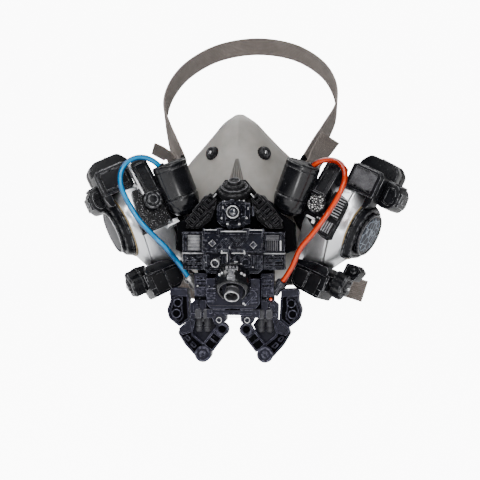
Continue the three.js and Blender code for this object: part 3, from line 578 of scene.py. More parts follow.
slateLook = {
    **baseLook, "dark": (0.009, 0.009, 0.0155, 1), "sheen": (0.017, 0.017, 0.027, 1),
    "rubbedHighlight": (0.2, 0.2, 0.26, 1), "wearHighlight": 0.9, "rough": 0.34, "specular": 0.09}
leatherLook = {
    **baseLook, "dark": (0.0032, 0.0032, 0.0042, 1), "sheen": (0.008, 0.008, 0.01, 1),
    "rough": 0.36, "grainDepth": 4.0, "lineDepth": 0.0, "specular": 0.1}
canisterLook = {
    **baseLook, "rough": 0.17, "roughVary": 0.05, "lineDepth": 0.0, "grainDepth": 0.06,
    "wearHighlight": 0.12, "specular": 0.38}
# near black, dull and unworn: painted shade on recess, slit and notch floors, and on the carrier and yokes
# that fill the dark gaps behind the front
shadeLook = {
    **matteLook, "dark": (0.0008, 0.0008, 0.0013, 1), "sheen": (0.0018, 0.0018, 0.0027, 1),
    "specular": 0.05, "wearHighlight": 0.0, "rough": 0.8}
glossBlack = blackPlastic("glossBlack", glossLook)
matteBlack = blackPlastic("matteBlack", matteLook)
navyBlack = blackPlastic("navyBlack", navyLook)
slateBlack = blackPlastic("slateBlack", slateLook)
leatherBlack = blackPlastic("leatherBlack", leatherLook)
canisterBlack = blackPlastic("canisterBlack", canisterLook)
shadeBlack = blackPlastic("shadeBlack", shadeLook)
panelBlack = blackPlastic("panelBlack", panelLook)
speckledBlack = blackPlastic("speckledBlack", speckLook)
chevronBlack = blackPlastic("chevronBlack", chevronLook)


# facepiece rubber: warm grey, mottled, satin, with a paler rim colour on marked edges, partly wear and
# partly painted highlight
def rubberGrey(name, look):
    sockets = {"Specular IOR Level": 0.35, "Subsurface Weight": 0.06, "Subsurface Scale": 0.004}
    material, tree, shader = newMaterial(name, sockets)
    skin = useGroup(tree, grain, Fine=2200.0, Broad=38.0)
    rubHighlight = useGroup(tree, edgeWearHighlight, Amount=0.25, Scale=200.0)["Mask"]
    addColour(tree, shader, rubHighlight, mixColour(tree, skin["Mottle"], look["low"], look["high"]), look["rim"])
    varyRoughness(tree, shader, skin["Mottle"], 0.1, look["rough"])
    addBump(tree, shader, skin["Height"], 0.00008)
    return material


greyRubber = rubberGrey("greyRubber", {
    "low": (0.192, 0.181, 0.167, 1), "high": (0.265, 0.253, 0.237, 1), "rim": (0.4, 0.39, 0.37, 1),
    "rough": 0.46})
# a darker copy of the same rubber for the nose flutes: painted shade in the fluted fan
fluteShadeRubber = rubberGrey("fluteShadeRubber", {
    "low": (0.085, 0.081, 0.075, 1), "high": (0.14, 0.134, 0.125, 1), "rim": (0.26, 0.25, 0.24, 1),
    "rough": 0.5})


# silver painted shell, metals and dull greys: a mottle of two tones with rubbed edges, whose pale colour is
# partly wear and partly painted highlight
def silverPaint(name, look):
    look = {"metal": 0.0, "coat": 0.0, "specular": 0.5, "bump": 1.0, **look}
    sockets = {"Coat Roughness": 0.1, "Specular IOR Level": look["specular"], "Metallic": look["metal"]}
    material, tree, shader = newMaterial(name, {**sockets, "Coat Weight": look["coat"]})
    skin = useGroup(tree, grain, Fine=2600.0, Broad=55.0)
    rubHighlight = useGroup(tree, edgeWearHighlight, Amount=look["wearHighlight"], Scale=260.0)["Mask"]
    addColour(tree, shader, rubHighlight, mixColour(tree, skin["Mottle"], look["low"], look["high"]), look["rubHighlight"])
    varyRoughness(tree, shader, skin["Mottle"], 0.09, look["rough"])
    addBump(tree, shader, skin["Height"], 0.00003, look["bump"])
    return material


silverShell = silverPaint("silverShell", {
    "low": (0.68, 0.69, 0.715, 1), "high": (0.76, 0.77, 0.79, 1), "rubHighlight": (0.95, 0.95, 0.96, 1),
    "rough": 0.28, "metal": 0.86, "coat": 0.25, "wearHighlight": 0.7, "bump": 0.04})
brightSteel = silverPaint("brightSteel", {
    "low": (0.5, 0.5, 0.51, 1), "high": (0.72, 0.72, 0.73, 1), "rubHighlight": (0.9, 0.9, 0.9, 1),
    "rough": 0.24, "metal": 0.9, "wearHighlight": 0.5})
darkSteel = silverPaint("darkSteel", {
    "low": (0.1, 0.1, 0.11, 1), "high": (0.2, 0.2, 0.215, 1), "rubHighlight": (0.5, 0.5, 0.52, 1),
    "rough": 0.3, "metal": 0.8, "wearHighlight": 0.6})
ribGrey = silverPaint("ribGrey", {
    "low": (0.2, 0.2, 0.215, 1), "high": (0.34, 0.34, 0.355, 1), "rubHighlight": (0.75, 0.75, 0.77, 1),
    "rough": 0.3, "metal": 0.5, "wearHighlight": 0.9})
ornamentGrey = silverPaint("ornamentGrey", {
    "low": (0.07, 0.07, 0.08, 1), "high": (0.2, 0.2, 0.215, 1), "rubHighlight": (0.7, 0.7, 0.72, 1),
    "rough": 0.26, "metal": 0.6, "wearHighlight": 0.9})
pistonGrey = silverPaint("pistonGrey", {
    "low": (0.022, 0.022, 0.026, 1), "high": (0.04, 0.04, 0.046, 1), "rubHighlight": (0.2, 0.2, 0.22, 1),
    "rough": 0.4, "wearHighlight": 0.6, "specular": 0.25})
pistonSlate = silverPaint("pistonSlate", {
    "low": (0.011, 0.011, 0.017, 1), "high": (0.022, 0.022, 0.031, 1), "rubHighlight": (0.2, 0.2, 0.22, 1),
    "rough": 0.28, "metal": 0.3, "wearHighlight": 0.6})
brassRing = silverPaint("brassRing", {
    "low": (0.2, 0.14, 0.07, 1), "high": (0.32, 0.24, 0.13, 1), "rubHighlight": (0.5, 0.42, 0.28, 1),
    "rough": 0.32, "metal": 0.7, "wearHighlight": 0.22})


# dial and grille faces: a crackle of cell borders over a mottle of two tones
def crackleFace(name, look):
    material, tree, shader = newMaterial(name, {"Specular IOR Level": 0.1})
    inputs = {"Vector": objectSpot(tree), "Scale": look["scale"]}
    cells = addNode(tree, "ShaderNodeTexVoronoi", inputs, feature="DISTANCE_TO_EDGE")
    border = rampBetween(tree, cells.outputs["Distance"], *look["line"])
    skin = useGroup(tree, grain, Fine=1800.0, Broad=160.0)
    cell = mixColour(tree, skin["Mottle"], look["low"], look["high"])
    addColour(tree, shader, border, cell, look["border"])
    varyRoughness(tree, shader, border, -0.15, 0.4)
    addBump(tree, shader, border, 0.0002)
    return material


dialFace = crackleFace("crackleFace", {
    "scale": 190.0, "line": (0.075, 0.02), "low": (0.004, 0.005, 0.008, 1), "high": (0.03, 0.036, 0.05, 1),
    "border": (0.2, 0.235, 0.285, 1)})
grilleFace = crackleFace("grilleFace", {
    "scale": 640.0, "line": (0.3, 0.16), "low": (0.7, 0.7, 0.69, 1), "high": (0.85, 0.85, 0.84, 1),
    "border": (0.004, 0.004, 0.005, 1)})
dialDark = silverPaint("dialDark", {
    "low": (0.03, 0.03, 0.034, 1), "high": (0.07, 0.07, 0.078, 1), "rubHighlight": (0.6, 0.6, 0.62, 1),
    "rough": 0.3, "wearHighlight": 0.6, "specular": 0.06})


# webbing: ribs along the band and a finer weave across, as sines of the band's across and along distances
def webbingCloth(look):
    sockets = {"Roughness": 0.85, "Specular IOR Level": 0.25, "Sheen Weight": 0.15}
    material, tree, shader = newMaterial("webbingCloth", sockets)
    band = addNode(tree, "ShaderNodeAttribute", attribute_name="lay").outputs["Vector"]
    lay = addNode(tree, "ShaderNodeSeparateXYZ", {0: band}).outputs
    waves = []
    for key, pitch, base in (("Y", look["rib"], 0.6), ("X", look["thread"], 0.4)):
        wave = mathNode(tree, "SINE", mathNode(tree, "MULTIPLY", lay[key], 2 * math.pi / pitch))
        waves.append(mathNode(tree, "ADD", mathNode(tree, "MULTIPLY_ADD", wave, 0.5, 0.5), base))
    weave = mathNode(tree, "MULTIPLY", *waves)
    skin = useGroup(tree, grain, Fine=2000.0, Broad=70.0)
    body = mixColour(tree, skin["Mottle"], look["low"], look["high"])
    addColour(tree, shader, mathNode(tree, "MULTIPLY", weave, 0.45, clamp=True), look["gap"], body)
    addBump(tree, shader, weave, 0.0003)
    return material


strapCloth = webbingCloth({
    "rib": 1.5, "thread": 0.7, "gap": (0.11, 0.092, 0.082, 1), "low": (0.2, 0.168, 0.15, 1),
    "high": (0.3, 0.255, 0.23, 1)})


# clear coloured hose: paler in the middle of the round and deep and dark toward its edges by the angle to
# the view, painted shade as in a clear tube; the same colour also glows faintly, a painted glow
def hoseShadeAndGlow(name, look):
    sockets = {"Roughness": 0.08, "IOR": 1.5, "Specular IOR Level": 0.3, "Coat Weight": 0.14,
               "Coat Roughness": 0.04, "Emission Strength": 0.22}
    material, tree, shader = newMaterial(name, sockets)
    skin = useGroup(tree, grain, Fine=900.0, Broad=60.0)
    # facing grows toward the outline of the round as seen: the darker edges it gives are painted shade
    facing = addNode(tree, "ShaderNodeLayerWeight", {"Blend": 0.35}).outputs["Facing"]
    depth = mathNode(tree, "MULTIPLY_ADD", skin["Mottle"], 0.12, 0.5, clamp=True)
    edge = mathNode(tree, "ADD", depth, rampBetween(tree, facing, 0.05, 0.42), clamp=True)
    glow = mixColour(tree, edge, look["core"], look["rim"])
    tree.links.new(glow, shader.inputs["Base Color"])
    # the emission makes the hose glow faintly though it is no lamp: painted glow
    tree.links.new(glow, shader.inputs["Emission Color"])
    addBump(tree, shader, skin["Height"], 0.00003)
    return material


# core is the hose's own colour; rim is the painted shade toward the edges
blueHose = hoseShadeAndGlow("blueHose", {"core": (0.002, 0.38, 0.78, 1), "rim": (0.0, 0.05, 0.15, 1)})
orangeHose = hoseShadeAndGlow("orangeHose", {"core": (0.92, 0.075, 0.004, 1), "rim": (0.2, 0.006, 0.0, 1)})


# lens glass: dark and clear, with a faint mottle
def glassDark(name, look):
    sockets = {"Roughness": 0.04, "IOR": 1.5, "Coat Weight": 1.0, "Coat Roughness": 0.02}
    material, tree, shader = newMaterial(name, sockets)
    skin = useGroup(tree, grain, Fine=900.0, Broad=300.0)
    addColour(tree, shader, skin["Mottle"], look["low"], look["high"])
    return material


lensGlass = glassDark("lensGlass", {"low": (0.008, 0.01, 0.016, 1), "high": (0.03, 0.036, 0.05, 1)})


# bright steel trim, which replaces no node; many of these bits are painted glints and rim highlights
def steelPiece(name, shells):
    makePiece(name, shells, brightSteel)


print("stage: finishes made")

# hoses first: middle lines from the canister port to the fitting on the post
hoses = {
    "hoseOrange": {
        "node": "tube_orange", "slot": "hose_orange", "finish": orangeHose,
        "points": [
            (55.72, -66.16, 34.57), (59.71, -67.36, 38.25), (64.3, -68.96, 40.92), (69.24, -71.16, 42.11),
            (74.05, -73.91, 41.87), (78.25, -77.14, 40.23), (81.37, -80.65, 37.29), (83.16, -84.07, 33.32),
            (83.47, -87.01, 28.63), (82.47, -89.03, 23.57), (80.44, -89.87, 18.47), (77.89, -90.01, 13.53),
            (75.12, -89.89, 8.71), (72.14, -89.58, 4.02), (68.99, -89.12, -0.54), (65.76, -88.51, -5.03),
            (62.45, -87.78, -9.45), (59.06, -86.91, -13.77), (55.51, -85.92, -17.94),
            (51.98, -84.8, -22.09), (49.08, -83.53, -26.66), (46.92, -82.18, -31.6),
            (44.75, -80.88, -36.56), (42.15, -79.68, -41.33), (39.22, -78.57, -45.92),
            (36.1, -77.5, -50.4)]},
    "hoseBlue": {
        "node": "tube_blue", "slot": "hose_blue", "finish": blueHose,
        "points": [
            (-55.72, -66.16, 34.57), (-59.68, -67.46, 38.58), (-64.02, -69.14, 42), (-68.91, -71.35, 44.11),
            (-74.03, -73.96, 44.38), (-78.84, -76.71, 42.79), (-82.79, -79.31, 39.51),
            (-85.43, -81.55, 34.9), (-86.5, -83.16, 29.47), (-85.98, -83.87, 23.77), (-84.33, -83.7, 18.24),
            (-82.06, -82.9, 12.98), (-79.4, -82.35, 7.87), (-76.48, -82.34, 2.88), (-73.24, -82.48, -1.91),
            (-69.58, -82.86, -6.38), (-65.56, -83.69, -10.45), (-61.46, -84.77, -14.4),
            (-57.36, -85.49, -18.4), (-53.19, -84.69, -22.3), (-49.95, -82.35, -26.45),
            (-47.58, -78.55, -30.08), (-45.1, -74.89, -33.78), (-42.23, -72.4, -38.13),
            (-39.24, -70.53, -42.72), (-36.2, -69, -47.4)]}}
hoseSize = {"radius": 2.1, "rings": 240, "sides": 28}
for name, spec in hoses.items():
    path = smoothPath(spec["points"], hoseSize["rings"])
    tube = sweepShell(path, *pathAxes(path, (0, 1, 0)), circle(hoseSize["radius"], hoseSize["sides"]))
    hose = makePiece(name, [tube], spec["finish"], [spec["node"]])
    length = np.linalg.norm(np.diff(path, axis=0), axis=1).sum()
print("stage: hoses made")

# facepiece: every row is a half ellipse from the seal edge to the front ridge
faceForm = {
    "rows": [
        [4, -33, 78, -34, 79, 1.0], [13, -30, 72, -41, 73.5, 1.0], [21, -26, 63.5, -47, 64.5, 1.1],
        [31, -20, 53, -54, 52, 1.15], [43, -11, 41, -60, 37, 1.1], [54, -3, 27, -64.5, 20, 1.0],
        [60, 3, 10, -66, 0, 0.9], [60, 3, -12, -63, -20, 0.85], [53, -2, -32, -55, -38, 0.85],
        [38, -10, -46, -44, -51, 0.9], [24, -17, -53, -33, -57, 1.0]], "down": 110, "across": 121,
    "wall": 2.5, "ridge": {"high": 1.5, "wide": 5.0, "end": 0.36, "fade": 0.12},
    "step": 0.004, "lastAcross": 0.98, "inside": (0, 10, 0)}


# a cubic through the rows at each t, then x = edgeX sin, and y and z run from the edge to the ridge
# by a power of the cosine; the upper rows stand out along the middle by a falling exponential
def facePoints(t, s):
    rows = np.array(faceForm["rows"], float)
    last = len(rows) - 1
    at = np.clip(t, 0, 1) * last
    i = np.minimum(np.floor(at).astype(int), last - 1)
    f = (at - i)[..., None]
    p, q, r, e = [rows[np.clip(i + d, 0, last)] for d in (-1, 0, 1, 2)]
    row = q + 0.5 * f * (r - p + f * (2 * p - 5 * q + 4 * r - e + f * (3 * (q - r) + e - p)))
    angle = s * math.pi / 2
    swell = np.maximum(np.cos(angle), 0) ** row[..., 5]
    ridge = faceForm["ridge"]
    x = row[..., 0] * np.sin(angle)
    fade = np.clip((ridge["end"] - t) / ridge["fade"], 0, 1)
    crest = ridge["high"] * np.exp(-abs(x) / ridge["wide"]) * fade
    y = row[..., 1] + (row[..., 3] - row[..., 1]) * swell - crest
    z = row[..., 2] + (row[..., 4] - row[..., 2]) * swell
    return np.stack([x, y, z], -1)


# points that stand off the face along its normal, found from small steps down and across
def faceOffset(t, s, off):
    e, last = faceForm["step"], faceForm["lastAcross"]
    inner = np.clip(s, -last, last)
    down = facePoints(np.minimum(t + e, 1), inner) - facePoints(np.maximum(t - e, 0), inner)
    over = facePoints(t, np.minimum(s + e, last)) - facePoints(t, np.maximum(s - e, -last))
    normal = unit(np.cross(over, down))
    spot = facePoints(t, s)
    side = np.sign(((spot - np.array(faceForm["inside"])) * normal).sum(-1, keepdims=True))
    return spot + normal * side * np.asarray(off)[..., None]


# the outer skin runs to the rim, turns over it in a half circle and comes back as the inner skin
def facepieceShell(form):
    t = np.linspace(0, 1, form["down"])
    turn = np.linspace(0, math.pi, 7)[1:-1]
    across = np.sin(np.linspace(-math.pi / 2, math.pi / 2, form["across"]))
    across = 0.5 * across + 0.5 * np.linspace(-1, 1, form["across"])
    half = form["wall"] / 2
    lip = -half + half * np.cos(turn)
    s = np.concatenate([across, np.ones(len(turn)), across[::-1], -np.ones(len(turn))])
    off = np.concatenate([np.zeros(len(across)), lip, np.full(len(across), -form["wall"]), lip[::-1]])
    tt, ss = np.meshgrid(t, s, indexing="ij")
    rings = faceOffset(tt, ss, np.broadcast_to(off, tt.shape))
    swell = np.concatenate([np.zeros(len(across)), np.sin(turn), np.zeros(len(across)), -np.sin(turn)])
    rings[..., 1] += half * abs(swell)[None]
    return loftShell(rings, np.zeros(len(t) - 1))


makePiece("facepieceSkin", [facepieceShell(faceForm)], greyRubber, ["facepiece"], sharp=60)

# nose ridge: half round flutes that widen downward; the ends are z, y, half width and pitch
fluteForm = {
    "top": (43.6, -59.6, 0.3, 0.42), "foot": (20, -66.6, 1.4, 2.9), "count": 5, "rings": 30, "arc": 12,
    "taper": 9, "least": 0.15, "spread": 1.12, "sunk": 1.2, "rise": 1.5, "back": 3}


def fluteShell(i):
    f = np.linspace(0, 1, fluteForm["rings"])[:, None]
    top, foot = np.array(fluteForm["top"], float), np.array(fluteForm["foot"], float)
    z, y, half, pitch = (top + (foot - top) * f).T
    near = np.minimum(f[:, 0], 1 - f[:, 0])
    ends = np.clip(near * fluteForm["taper"], fluteForm["least"], 1) ** 0.5
    angle = np.linspace(0, math.pi, fluteForm["arc"])
    x = i * pitch[:, None] + half[:, None] * np.cos(angle)[None] * fluteForm["spread"]
    front = y[:, None] + fluteForm["sunk"] - (fluteForm["rise"] * ends)[:, None] * np.sin(angle)[None]
    ringsFront = np.stack([x, front, np.broadcast_to(z[:, None], x.shape)], -1)
    ringsBack = ringsFront[:, ::-1].copy()
    ringsBack[..., 1] = (y + fluteForm["back"])[:, None]
    return loftShell(np.concatenate([ringsFront, ringsBack], 1), np.zeros(len(f) - 1))


flutes = [fluteShell(i - fluteForm["count"] // 2) for i in range(fluteForm["count"])]
# the flutes take the darker rubber, painted shade
makePiece("noseFlutes", flutes, fluteShadeRubber, sharp=50)

# studs on the nose
studForm = {
    "spot": (19.5, -47.5, 47.5), "along": (0.66, -0.68, 0.3),
    "profile": [
        [0, -0.75], [5.4, -0.75], [5.4, 2.2], [4.9, 3.4], [4.2, 4.3], [2.8, 4.4], [2.3, 3.5], [0, 3.5]],
    "rib": [[0, -0.6], [0.46, -0.6], [0.46, 1.6], [0, 2.0]],
    "pin": [[0, 3.2], [1.5, 3.2], [1.5, 3.9], [0.9, 4.4], [0, 4.5]], "ribCount": 16, "ribsAt": 5.35}


def studShells(place):
    ribs = repeated(turnShell(studForm["rib"], 8), ringSpots(studForm["ribsAt"], studForm["ribCount"], 0))
    return [turnedAt(studForm["profile"], 0.45, 56, place), placed(ribs, place)]


sides = {"left": 1, "right": -1}
for tag, sign in sides.items():
    place = aimPlace(studForm["spot"], studForm["along"])
    place = place if sign > 0 else mirrorPlace(place)
    sidePiece(tag, "noseStud", studShells(place), matteBlack, "gloss_black", "stud")
    steelPiece(f"studPin_{tag}", [turnedAt(studForm["pin"], 0.3, 32, place)])
print("stage: facepiece made")

# straps: rows of a place and the outward side of the webbing there
strapSize = {
    "wide": 18.0, "thick": 1.6, "turn": 3.4, "edge": 0.3, "ribPoints": 49, "ribDepth": 0.14,
    "ribPitch": 1.5}
strapLoops = {"top": {"at": (53, -3, 38), "along": (0.35, 0.63, 0.7), "out": (0.85, -0.5, 0.03)},
              "low": {"at": (45, -0.5, -47), "along": (0.35, 0.92, -0.15), "out": (0.7, -0.35, -0.62)}}
strapRows = {
    "head": {
        "bar": "top", "count": 420,
        "tailLeft": [
            [70, 3, 62, 0.35, -0.93, -0.1], [66, 3.5, 56, 0.5, -0.85, -0.1], [61.5, 2, 49.5, 0.7, -0.7, 0],
            [58.5, 0.5, 45, 0.82, -0.57, 0]],
        "tailRight": [
            [74, -4, 53.5, 0.5, -0.5, -0.7], [67, -3.5, 50, 0.62, -0.55, -0.55],
            [61.5, -2, 46.4, 0.78, -0.55, -0.25], [58.3, -0.5, 43.6, 0.85, -0.5, 0]],
        "loop": [
            [58.5, 12, 54, -0.85, 0.5, 0], [66, 30, 69, -0.93, 0.36, 0.1], [73, 55, 87, -0.99, 0.05, 0.1],
            [71, 82, 108, -0.9, -0.35, -0.2], [59, 103, 127, -0.72, -0.55, -0.42],
            [34, 119, 143, -0.4, -0.7, -0.59], [0, 125, 149, 0, -0.76, -0.65]]},
    "neck": {
        "bar": "low", "count": 360,
        "tailLeft": [
            [98, 14, -63.5, 0.1, -0.99, 0], [87, 13, -60, 0.1, -0.99, 0], [74, 11.6, -56.6, 0.15, -0.98, 0],
            [62, 9.4, -53.8, 0.3, -0.94, -0.1], [53.6, 6.2, -51.8, 0.45, -0.8, -0.3],
            [49.2, 2.6, -50, 0.6, -0.6, -0.5]],
        "tailRight": [
            [49.5, 9.4, -69.5, 0.05, -1, 0], [48.8, 8.6, -62, 0.1, -1, 0], [48.8, 7, -56, 0.3, -0.93, -0.2],
            [48.9, 4, -51.4, 0.56, -0.66, -0.48]],
        "loop": [
            [46.8, 13, -47.2, -0.75, 0.45, 0.45], [53, 32, -49, -0.93, 0.3, 0.2],
            [55.5, 54, -51, -1, -0.05, 0], [50, 78, -53, -0.85, -0.53, 0], [32, 97, -55.5, -0.5, -0.86, 0],
            [0, 105, -57, 0, -1, 0]]}}


# half a turn round the bar: at + R (n sin + t cos)
def strapFold(bar):
    t = unit(np.array(bar["along"], float))
    n = np.array(bar["out"], float)
    n = unit(n - t * (n @ t))
    f = np.radians([100, 125, 152, 180, 208, 235, 260])[:, None]
    out = n * np.sin(f) + t * np.cos(f)
    return np.hstack([np.array(bar["at"], float) + strapSize["turn"] * out, out])


# a flat section with fine ribs along it, carried along the rows
def strapShell(spec):
    flip = np.array([-1, 1, 1, -1, 1, 1], float)
    fold = strapFold(strapLoops[spec["bar"]])
    leftHalf = np.vstack([spec["tailLeft"], fold, spec["loop"]])
    rightHalf = np.vstack([spec["tailRight"], fold, spec["loop"][:-1]])
    rows = smoothPath(np.vstack([leftHalf, (rightHalf * flip)[::-1]]), spec["count"])
    path, out = rows[:, :3], rows[:, 3:]
    along = unit(np.gradient(path, axis=0))
    out = unit(out - along * (out * along).sum(-1, keepdims=True))
    wide = np.cross(along, out)
    half, thick = strapSize["wide"] / 2, strapSize["thick"] / 2
    edge, deep = strapSize["edge"], strapSize["ribDepth"]
    x = np.linspace(-half + edge, half - edge, strapSize["ribPoints"])
    ribs = thick - deep + deep * np.cos(x * 2 * math.pi / strapSize["ribPitch"])
    upper, lower = np.column_stack([x, ribs]), np.column_stack([x, -ribs])[::-1]
    section = np.vstack([upper, [[half, edge], [half, -edge]], lower, [[-half, -edge], [-half, edge]]])
    shell = sweepShell(path, wide, out, section)
    travel = np.concatenate([[0], np.cumsum(np.linalg.norm(np.diff(path, axis=0), axis=1))])
    lay = np.zeros((len(path) * len(section), 3))
    lay[:, 0], lay[:, 1] = np.repeat(travel, len(section)), np.tile(section[:, 0], len(path))
    return shell, lay, travel[-1]


for name, spec in strapRows.items():
    shell, lay, length = strapShell(spec)
    makePiece(f"{name}StrapWeb", [shell], strapCloth, [f"{name}_strap"], sharp=70, lay=lay)
    print(f"{name} strap length {length:.0f} mm")
print("stage: straps made")

# drum frame: a out along the axis, u up the rim, v to the front;
# the pad frame leans back with the upper front face
drumForm = {"at": (92.5, -48, -11), "dip": 25, "turn": 22, "padTilt": 12}
dip, swing, lean = [math.radians(drumForm[key]) for key in ("dip", "turn", "padTilt")]
axisA = np.array([math.cos(swing) * math.cos(dip), -math.sin(swing), -math.cos(swing) * math.sin(dip)])
axisU = np.array([math.sin(dip), 0, math.cos(dip)])
axisV = np.cross(axisA, axisU)


def drumPlaces(sign):
    raised = makePlace(drumForm["at"], axisA, axisU, axisV)  # outline in a and u, height v
    turned = makePlace(drumForm["at"], axisU, axisV, axisA)  # turned about a
    pad = makePlace(
        drumForm["at"], axisA, math.cos(lean) * axisU - math.sin(lean) * axisV,
        math.sin(lean) * axisU + math.cos(lean) * axisV)
    return [place if sign > 0 else mirrorPlace(place) for place in (raised, turned, pad)]


# a point and a direction of a place, in the frame of the whole part
def spotAndWay(place, spot, axis):
    origin, axes = place
    return origin + np.array(spot, float) @ axes, unit(np.array(axis, float) @ axes)


# housing: flat faces round the axis, each an angle up from the front and a distance at the shoulder
# and at the inner end
housingForm = {
    "faces": [
        [12, 25.5, 24.8], [-30, 30.9, 30], [-80, 36, 43.5], [-130, 31, 30], [180, 27, 22], [130, 28.5, 24],
        [75, 30.5, 27]], "rim": 25.0, "shoulder": -7.0, "end": -34.0, "power": 34, "sides": 288,
    "pullFrom": -9, "pullSpan": 10.5,
    "rings": [
        [1.5, 0, 0.96, 0], [1.5, 0, 0.98, 0], [1.3, 0, 0.992, 0.4], [0.8, 0, 1, 0.4], [0.3, 0.04, 1, 0],
        [-1.6, 0.3, 1, 0], [-3.6, 0.58, 1, 0], [-5.6, 0.86, 1, 0], [-6.4, 0.965, 1, 0.5], [-6.9, 1, 1, 0.5],
        [-7.4, 1, 0.995, 0], [-8.2, 1, 0.978, 0], [-8.9, 1, 0.976, 0], [-9.4, 1, 0.985, 0.3],
        [-10.4, 1, 0.99, 0], [-16, 1, 1, 0], [-24, 1, 1, 0], [-30.4, 1, 1, 0], [-32, 1, 0.985, 0],
        [-33.3, 1, 0.95, 0], [-34, 1, 0.9, 0], [-34, 1, 0.6, 0]]}


# distance from the axis: the sum, over the faces, of (cosine of the angle from the face over its distance)
# to a high power, and the whole to minus one over that power
def housingShell(form, pull):
    along, share, size, wearHighlight = np.array(form["rings"], float).T
    start, span = form["pullFrom"], form["pullSpan"]
    along = np.where(along > start, start + (along - start) * (1 - pull / span), along)
    turn, near, far = np.array(form["faces"], float).T
    inward = np.clip((along - form["shoulder"]) / (form["end"] - form["shoulder"]), 0, 1)
    theta = np.linspace(0, 2 * math.pi, form["sides"], endpoint=False)
    facing = np.maximum(np.cos(theta[:, None] - np.radians(turn)[None]), 0)
    far = near[None] + (far - near)[None] * inward[:, None]
    reach = ((facing[None] / far[:, None]) ** form["power"]).sum(-1) ** (-1 / form["power"])
    radius = form["rim"] * (1 - share)[:, None] * size[:, None] + reach * share[:, None] * size[:, None]
    along = np.broadcast_to(along[:, None], radius.shape)
    return loftShell(np.stack([along, radius * np.sin(theta), radius * np.cos(theta)], -1), wearHighlight[:-1])


# a turned profile whose radius swells by a lobe or by an even count of lobes
def lobedShell(profile, sides, swell):
    verts, polys, wearHighlights = turnShell(profile, sides)
    angle = np.arctan2(verts[:, 1], verts[:, 0])
    return verts * np.stack([swell(angle), swell(angle), np.ones(len(verts))], -1), polys, wearHighlights


neckForm = [[0, -30], [13, -30], [13, -42.2], [12.4, -42.8], [10, -42.8], [10, -40], [0, -40]]
bezelForm = {
    "profile": [
        [0, 1.8], [22.4, 1.8], [23, 2.4], [23, 3.6], [22.4, 4.2], [22.2, 4.9], [20.6, 8], [19.8, 8.5],
        [18.8, 8.5], [18, 7.9], [0, 7.9]], "soft": 0.3, "sides": 144, "point": 0.2, "pointAt": 2.55,
    "pointWide": 0.36, "pullRight": 4.0}
discForm = {
    "cup": [
        [0, 8.2], [17.2, 8.2], [17.2, 10.8], [16.6, 11.5], [15.9, 11.5], [15.5, 11], [14.6, 11], [14, 11.3],
        [0, 11.9]], "face": [[0, 10], [14.3, 10], [14.3, 11.3], [13.8, 11.6], [0, 12]],
    "faceFinish": {"left": dialFace, "right": dialDark},
    # the right rim is thicker and in bright steel, painting its rim highlight; the left one is dark steel
    "rim": {"left": (0.2, darkSteel), "right": (0.32, brightSteel)}, "rimAt": (16.6, 11.5),
    "seat": (23.9, 0.7, 1.7)}
canForm = {
    "middle": (-46.1, 8.7, 36.4), "axis": (-0.034, 0.987, 0.143),
    "body": [
        [0, -21.5], [4, -21.3], [8, -19.7], [11, -16.8], [12.8, -12.6], [13.4, -9], [13.5, -7],
        [12.9, -6.5], [12.9, -5.9], [13.5, -5.3], [13.5, 15.6], [13.2, 15.9], [13.2, 16.3], [13.5, 16.6],
        [13.5, 19.4], [12.9, 20], [0, 20.2]],
    "top": [[0, 18], [13.1, 18], [13.1, 20.3], [12.7, 20.7], [9.8, 20.7], [9.4, 20.3], [0, 20.3]],
    "port": [[2.3, -2], [3.6, -2], [3.6, 0.4], [3.2, 0.9], [2.5, 0.9], [2.3, 0.5]],
    "portAt": (-40.5, 29.7, 36.85), "portAxis": (0.3474, 0.9314, 0.0753)}


# the left bezel comes to a point: a bell curve of the angle from that point
def bezelSwell(angle, sign):
    away = np.angle(np.exp(1j * (angle - bezelForm["pointAt"])))
    return 1 + bezelForm["point"] * np.exp(-(away / bezelForm["pointWide"]) ** 2) * (sign > 0)


for tag, sign in sides.items():
    raised, turned = drumPlaces(sign)[:2]
    pull = 0.0 if sign > 0 else bezelForm["pullRight"]
    drum = [placed(housingShell(housingForm, pull), raised), placed(turnShell(neckForm, 64), turned)]
    sidePiece(tag, "drumShell", drum, silverShell, "silver_shell", "housing", sharp=30)
    turned = movedPlace(turned, 0.0, 0.0, -pull)
    bezelLine = softProfile(bezelForm["profile"], bezelForm["soft"])
    bezel = lobedShell(bezelLine, bezelForm["sides"], lambda angle: bezelSwell(angle, sign))
    sidePiece(tag, "bezelRing", [placed(bezel, turned)], glossBlack, "gloss_black", "bezel")
    cup = turnedAt(discForm["cup"], 0.25, 112, turned)
    sidePiece(tag, "dialCup", [cup], glossBlack, "gloss_black", "disc")
    face = turnedAt(discForm["face"], 0.2, 96, turned)
    sidePiece(tag, "dialFace", [face], discForm["faceFinish"][tag], "disc_face")
    (r, h), (thick, finish) = discForm["rimAt"], discForm["rim"][tag]
    sidePiece(tag, "dialRim", [placed(hoopShell(r, thick, h, 96), turned)], finish, "steel")
    sidePiece(tag, "seatRing", [placed(hoopShell(*discForm["seat"], 96), turned)], brassRing, "steel")
    canPlace = aimPlace(*spotAndWay(raised, canForm["middle"], canForm["axis"]))
    can = turnedAt(canForm["body"], 0.5, 112, canPlace)
    sidePiece(tag, "canisterBody", [can], canisterBlack, "gloss_black", "canister")
    canTop = turnedAt(canForm["top"], 0.2, 96, canPlace)
    sidePiece(tag, "canisterTop", [canTop], matteBlack, "matte_black")
    portPlace = aimPlace(*spotAndWay(raised, canForm["portAt"], canForm["portAxis"]))
    port = turnedAt(canForm["port"], 0.2, 40, portPlace, True)
    sidePiece(tag, "hosePort", [port], glossBlack, "gloss_black")
print("stage: drums made")

